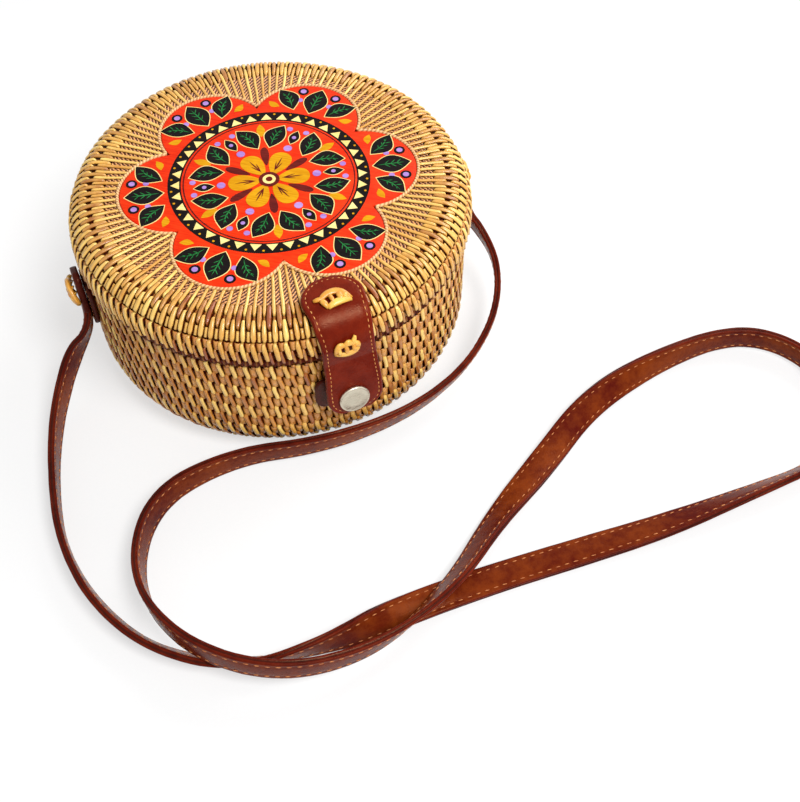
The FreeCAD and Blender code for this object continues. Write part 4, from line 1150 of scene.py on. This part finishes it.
# knots of split cane: strips over and under each other, in shares of the knot's size (across, along, rise)
knotLayouts = {
    "bow": [
        ([(-0.48, 0.08, 0.25), (-0.34, 0.36, 0.8), (-0.08, 0.58, 1.0), (0.22, 0.60, 1.0), (0.36, 0.10, 0.8),
          (0.50, -0.30, 0.25)], 0.50),
        ([(-0.30, -0.46, 0.25), (-0.12, -0.26, 1.0), (0.14, -0.26, 1.0), (0.50, -0.32, 0.25)], 0.44),
        ([(-0.46, 0.12, 0.3), (-0.40, 0.0, 0.9), (-0.34, -0.2, 0.9), (-0.29, -0.46, 0.25)], 0.42),
        ([(-0.14, 0.40, 0.5), (-0.11, 0.12, 1.1), (-0.09, -0.10, 1.1), (-0.08, -0.34, 0.5)], 0.30),
        ([(0.14, 0.42, 0.5), (0.17, 0.10, 1.1), (0.18, -0.05, 1.1), (0.20, -0.28, 0.5)], 0.44),
        ([(0.30, 0.20, 0.4), (0.32, 0.04, 0.9), (0.34, -0.1, 0.9), (0.36, -0.26, 0.4)], 0.36),
        ([(-0.36, 0.16, 0.6), (-0.48, 0.20, 0.6), (-0.56, 0.22, 0.4), (-0.66, 0.24, 0.2)], 0.30)],
    "block": [
        ([(-0.50, -0.30, 0.25), (-0.46, 0.30, 0.9), (-0.30, 0.58, 1.0), (-0.10, 0.30, 0.7)], 0.48),
        ([(-0.14, 0.22, 0.6), (0.0, 0.56, 1.0), (0.16, 0.52, 1.0), (0.26, 0.20, 0.6)], 0.46),
        ([(-0.54, -0.30, 0.2), (-0.20, -0.50, 0.9), (0.20, -0.46, 1.0), (0.42, -0.30, 0.9), (0.50, 0.02, 0.3)], 0.50),
        ([(0.22, 0.26, 0.5), (0.38, 0.34, 1.0), (0.50, 0.18, 0.9), (0.48, -0.14, 0.4)], 0.46),
        ([(-0.06, 0.36, 0.6), (-0.04, 0.10, 1.1), (-0.03, -0.12, 1.1), (-0.04, -0.44, 0.5)], 0.36),
        ([(0.24, 0.30, 0.6), (0.27, 0.10, 1.1), (0.28, -0.10, 1.1), (0.30, -0.40, 0.5)], 0.34),
        ([(-0.36, 0.30, 0.6), (-0.35, 0.0, 1.0), (-0.34, -0.10, 1.0), (-0.34, -0.42, 0.5)], 0.32),
        ([(0.22, 0.26, 0.7), (0.28, 0.46, 0.9), (0.34, 0.60, 0.9), (0.40, 0.80, 0.7)], 0.38),
        ([(0.34, -0.34, 0.5), (0.38, -0.44, 0.5), (0.40, -0.52, 0.4), (0.42, -0.62, 0.3)], 0.16)],
}


def bentThrough(points, share):
    points = [Vector(point) for point in points]
    while len(points) > 1:
        points = [first.lerp(second, share) for first, second in zip(points, points[1:])]
    return points[0]


def flatGround(node, across, along, rise):
    # the plane that a knot stands on
    low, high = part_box(node)
    across, along = Vector(across).normalized(), Vector(along).normalized()
    out = across.cross(along)
    middle = (low + high) / 2
    face = max(Vector((x, y, z)).dot(out) for x in (low.x, high.x) for y in (low.y, high.y) for z in (low.z, high.z))
    foot = middle + out * (face - rise - middle.dot(out))
    return lambda a, l, o: foot + across * a + along * l + out * o


def flapGround(down, aside):
    # the flap's outer face, at a length down from its top
    return lambda a, l, o: flapSurface(a + aside, down - l, flapSet["thick"] / 2 + o)


def tieKnot(name, node, body, ground, size, rise, layout):
    strips = knotLayouts[layout]
    bm = startMesh()

    def spot(strip, forward, turn):
        points, wide = strips[strip]
        here, ahead = bentThrough(points, forward), bentThrough(points, min(forward + 0.02, 1.0))
        before = bentThrough(points, max(forward - 0.02, 0.0))
        side, up = pointOf(ovalCane, turn)
        run = Vector(((ahead.x - before.x) * size[0], (ahead.y - before.y) * size[1]))
        swell = 0.55 + 0.45 * math.sin(math.pi * forward)
        cross = Vector((-run.y, run.x)).normalized() * side * wide * size[1] / 2 * swell
        place = Vector((here.x * size[0], here.y * size[1])) + cross
        height = max(0.0, here.z * rise * 0.62 + up * rise * 0.28)
        # painted shade: a strip darkens where it runs low, under its neighbours
        return ground(place.x, place.y, height), 0.35 + 0.65 * min(1.0, here.z)
    tones = [0.5 + chance.uniform(-0.25, 0.25) for strip in strips]
    layStrips(bm, len(strips), 14, len(ovalCane), spot, tones, fibre=(6.0, 14.0))
    finishPiece(bm, name, [knotCane], body, [node])


# flap knots: place down the flap and aside, then size and rise. Others: directions across and along, size and rise
flapKnots = [("flapKnotTop", "closure_knot_top", 12.9 * mm, 0.0, (13.2 * mm, 6.4 * mm), 3.0 * mm, "bow"),
             ("flapKnotFront", "closure_knot_front", 32.6 * mm, -1.2 * mm, (10.2 * mm, 5.8 * mm), 3.0 * mm, "block")]
wallKnots = [("leftStrapKnot", "left_strap_knot", "base", (0, -math.cos(leftLean), math.sin(leftLean)),
              (0, math.sin(leftLean), math.cos(leftLean)), (14 * mm, 9 * mm), 5.0 * mm),
             ("rightStrapKnot", "right_strap_knot", "base", (0, math.cos(rightLean), -math.sin(rightLean)),
              (0, math.sin(rightLean), math.cos(rightLean)), (14 * mm, 9 * mm), 5.0 * mm),
             ("hingeUpperKnot", "hinge_upper_knot", "lid", (-1, 0, 0), (0, 0, 1), (11.5 * mm, 4.6 * mm), 3.0 * mm),
             ("hingeLowerKnot", "hinge_lower_knot", "base", (-1, 0, 0), (0, 0, 1), (15 * mm, 7.8 * mm), 3.2 * mm),
             ("patchKnot", "catch_patch_knot", "base", (1, 0, 0), (0, 0, 1), (9.4 * mm, 2.9 * mm), 1.2 * mm)]
deepestKnot = 3.6 * mm  # how far below its CAD face a knot may start
for name, node, down, aside, size, rise, layout in flapKnots:
    tieKnot(name, node, "lid", flapGround(down, aside), size, rise, layout)
for name, node, body, across, along, size, rise in wallKnots:
    tieKnot(name, node, body, flatGround(node, across, along, min(rise, deepestKnot)), size, rise, "bow")
print("knots tied")


# snap: a shallow dished cap, and the turned halves behind it. profile: radius and height in mm
snapSet = {"down": 22.2 * mm, "ridge": (6.3 * mm, 6.9 * mm), "bevel": 0.12 * mm,
           "profile": [(0, 2.95), (3.4, 2.9), (5.2, 2.95), (5.9, 3.2), (6.4, 3.25), (6.75, 2.9), (6.8, 2.2),
                       (6.5, 1.35), (0, 1.33)]}


def makeSnap(spec):
    lean = flapSet["lean"]
    foldY = flapSet["bendY"] - flapSet["bend"]
    middle = Vector((0, foldY - spec["down"] * math.sin(lean), flapSet["fold"] - spec["down"] * math.cos(lean)))
    out = Vector((0, -math.cos(lean), math.sin(lean)))
    up = Vector((0, math.sin(lean), math.cos(lean)))
    bm = startMesh()
    points = [bm.verts.new(middle + up * radius * mm + out * high * mm) for radius, high in spec["profile"]]
    chain = [bm.edges.new(pair) for pair in zip(points, points[1:])]
    bmesh.ops.spin(bm, geom=points + chain, cent=middle, axis=out, angle=fullTurn, steps=48, use_merge=True)
    bmesh.ops.remove_doubles(bm, verts=bm.verts, dist=mergeGap)
    inner, outer = spec["ridge"]
    ridge = [edge for edge in bm.edges if edge.calc_face_angle(0) > 0.25
             and inner < ((edge.verts[0].co + edge.verts[1].co) / 2 - middle).length < outer]
    bmesh.ops.bevel(bm, geom=ridge, offset=spec["bevel"], offset_type="OFFSET", segments=2, profile=0.5,
                    affect="EDGES", material=-1)
    finishPiece(bm, "snapCap", [snapMetal], "flap", ["snap_cap"])
    for node in ("snap_socket", "snap_stud", "snap_rivet"):
        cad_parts[node].data.materials.clear()
        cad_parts[node].data.materials.append(snapMetal)
    print("snap set")


makeSnap(snapSet)


# linings: cloth cups with a rolled hem, and the canes that stiffen the mouths
liningSet = {"thick": 0.7 * mm, "hem": 0.9 * mm, "corner": 9 * mm, "ripple": 0.25 * mm}
caneSet = {"inset": 1.5 * mm, "half": 1.45 * mm, "wrap": 0.05, "wraps": 90}


def makeLining(name, node, body, spec, mouthUp):
    low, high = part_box(node)
    radius, corner = high.x - spec["hem"], spec["corner"]
    bottom, mouth = (low.z, high.z) if mouthUp else (high.z, low.z)
    sign = 1 if mouthUp else -1
    tall = abs(mouth - bottom)
    flat = radius - corner
    length = flat + corner * math.pi / 2 + tall - corner

    def line(s):
        if s < flat:
            return s, bottom + sign * spec["thick"] / 2
        bend = min((s - flat) / corner, math.pi / 2)
        rise = max(0.0, s - flat - corner * math.pi / 2)
        return flat + corner * math.sin(bend), bottom + sign * (corner - corner * math.cos(bend) + rise)
    bm = startMesh()

    def spot(strip, forward, turn):
        angle = fullTurn * forward
        wide, level = line(length * turn)
        ripple = spec["ripple"] * math.sin(14 * angle + 3 * turn) * smoothStep(turn * 3 - 1.6)
        return onAxis(wide * (1 - spec["thick"] / radius) + ripple, angle, level), 1.0
    layStrips(bm, 1, 96, 40, spot, fibre=(length / mm, fullTurn * radius / mm))
    uv = bm.loops.layers.uv["fibre"]
    for face in bm.faces:  # the round bottom is cut straight from the cloth
        if face.calc_center_median().to_2d().length < flat:
            for loop in face.loops:
                loop[uv].uv = loop.vert.co.to_2d() / mm
    bmesh.ops.remove_doubles(bm, verts=bm.verts, dist=mergeGap)
    bmesh.ops.recalc_face_normals(bm, faces=bm.faces)
    area = sum(face.calc_area() for face in bm.faces)
    bmesh.ops.solidify(bm, geom=bm.faces, thickness=spec["thick"])
    cup = finishPiece(bm, name, [liningCloth], body, [node])
    bm = startMesh()

    def hem(strip, forward, turn):
        angle, around = fullTurn * forward, fullTurn * turn
        puff = spec["hem"] * (1 + 0.12 * math.sin(60 * angle))
        return onAxis(radius - spec["thick"] / 2 + puff * 0.8 * math.cos(around), angle,
                      mouth - sign * spec["hem"] * 1.2 + puff * math.sin(around)), 1.0
    layStrips(bm, 1, 240, 8, hem, fibre=(6.0, 500.0))
    rolled = finishPiece(bm, name + "Hem", [liningCloth], body)


def makeCane(name, node, body, spec):
    low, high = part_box(node)
    level, tall = (low.z + high.z) / 2, (high.z - low.z) / 2 * 0.95
    bm = startMesh()

    def spot(strip, forward, turn):
        angle, around = fullTurn * forward, fullTurn * turn
        wrap = 1 + spec["wrap"] * math.sin(spec["wraps"] * angle + around)
        return onAxis(high.x - spec["inset"] + spec["half"] * math.cos(around) * wrap, angle,
                      level + tall * math.sin(around) * min(wrap, 1.02)), 1.0
    layStrips(bm, 1, 360, 10, spot, [0.55], 0, (10.0, 520.0))
    finishPiece(bm, name, [brownCane], body, [node])


makeLining("baseLining", "base_lining", "base", liningSet, True)
makeLining("lidLining", "lid_lining", "lid", liningSet, False)
makeCane("baseRimCane", "base_rim_cane", "base", caneSet)
makeCane("lidRimCane", "lid_rim_cane", "lid", caneSet)
print("linings and canes in")


size = {"cad": [list(cadLow), list(cadHigh)], "visual": [list(corner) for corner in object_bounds()]}
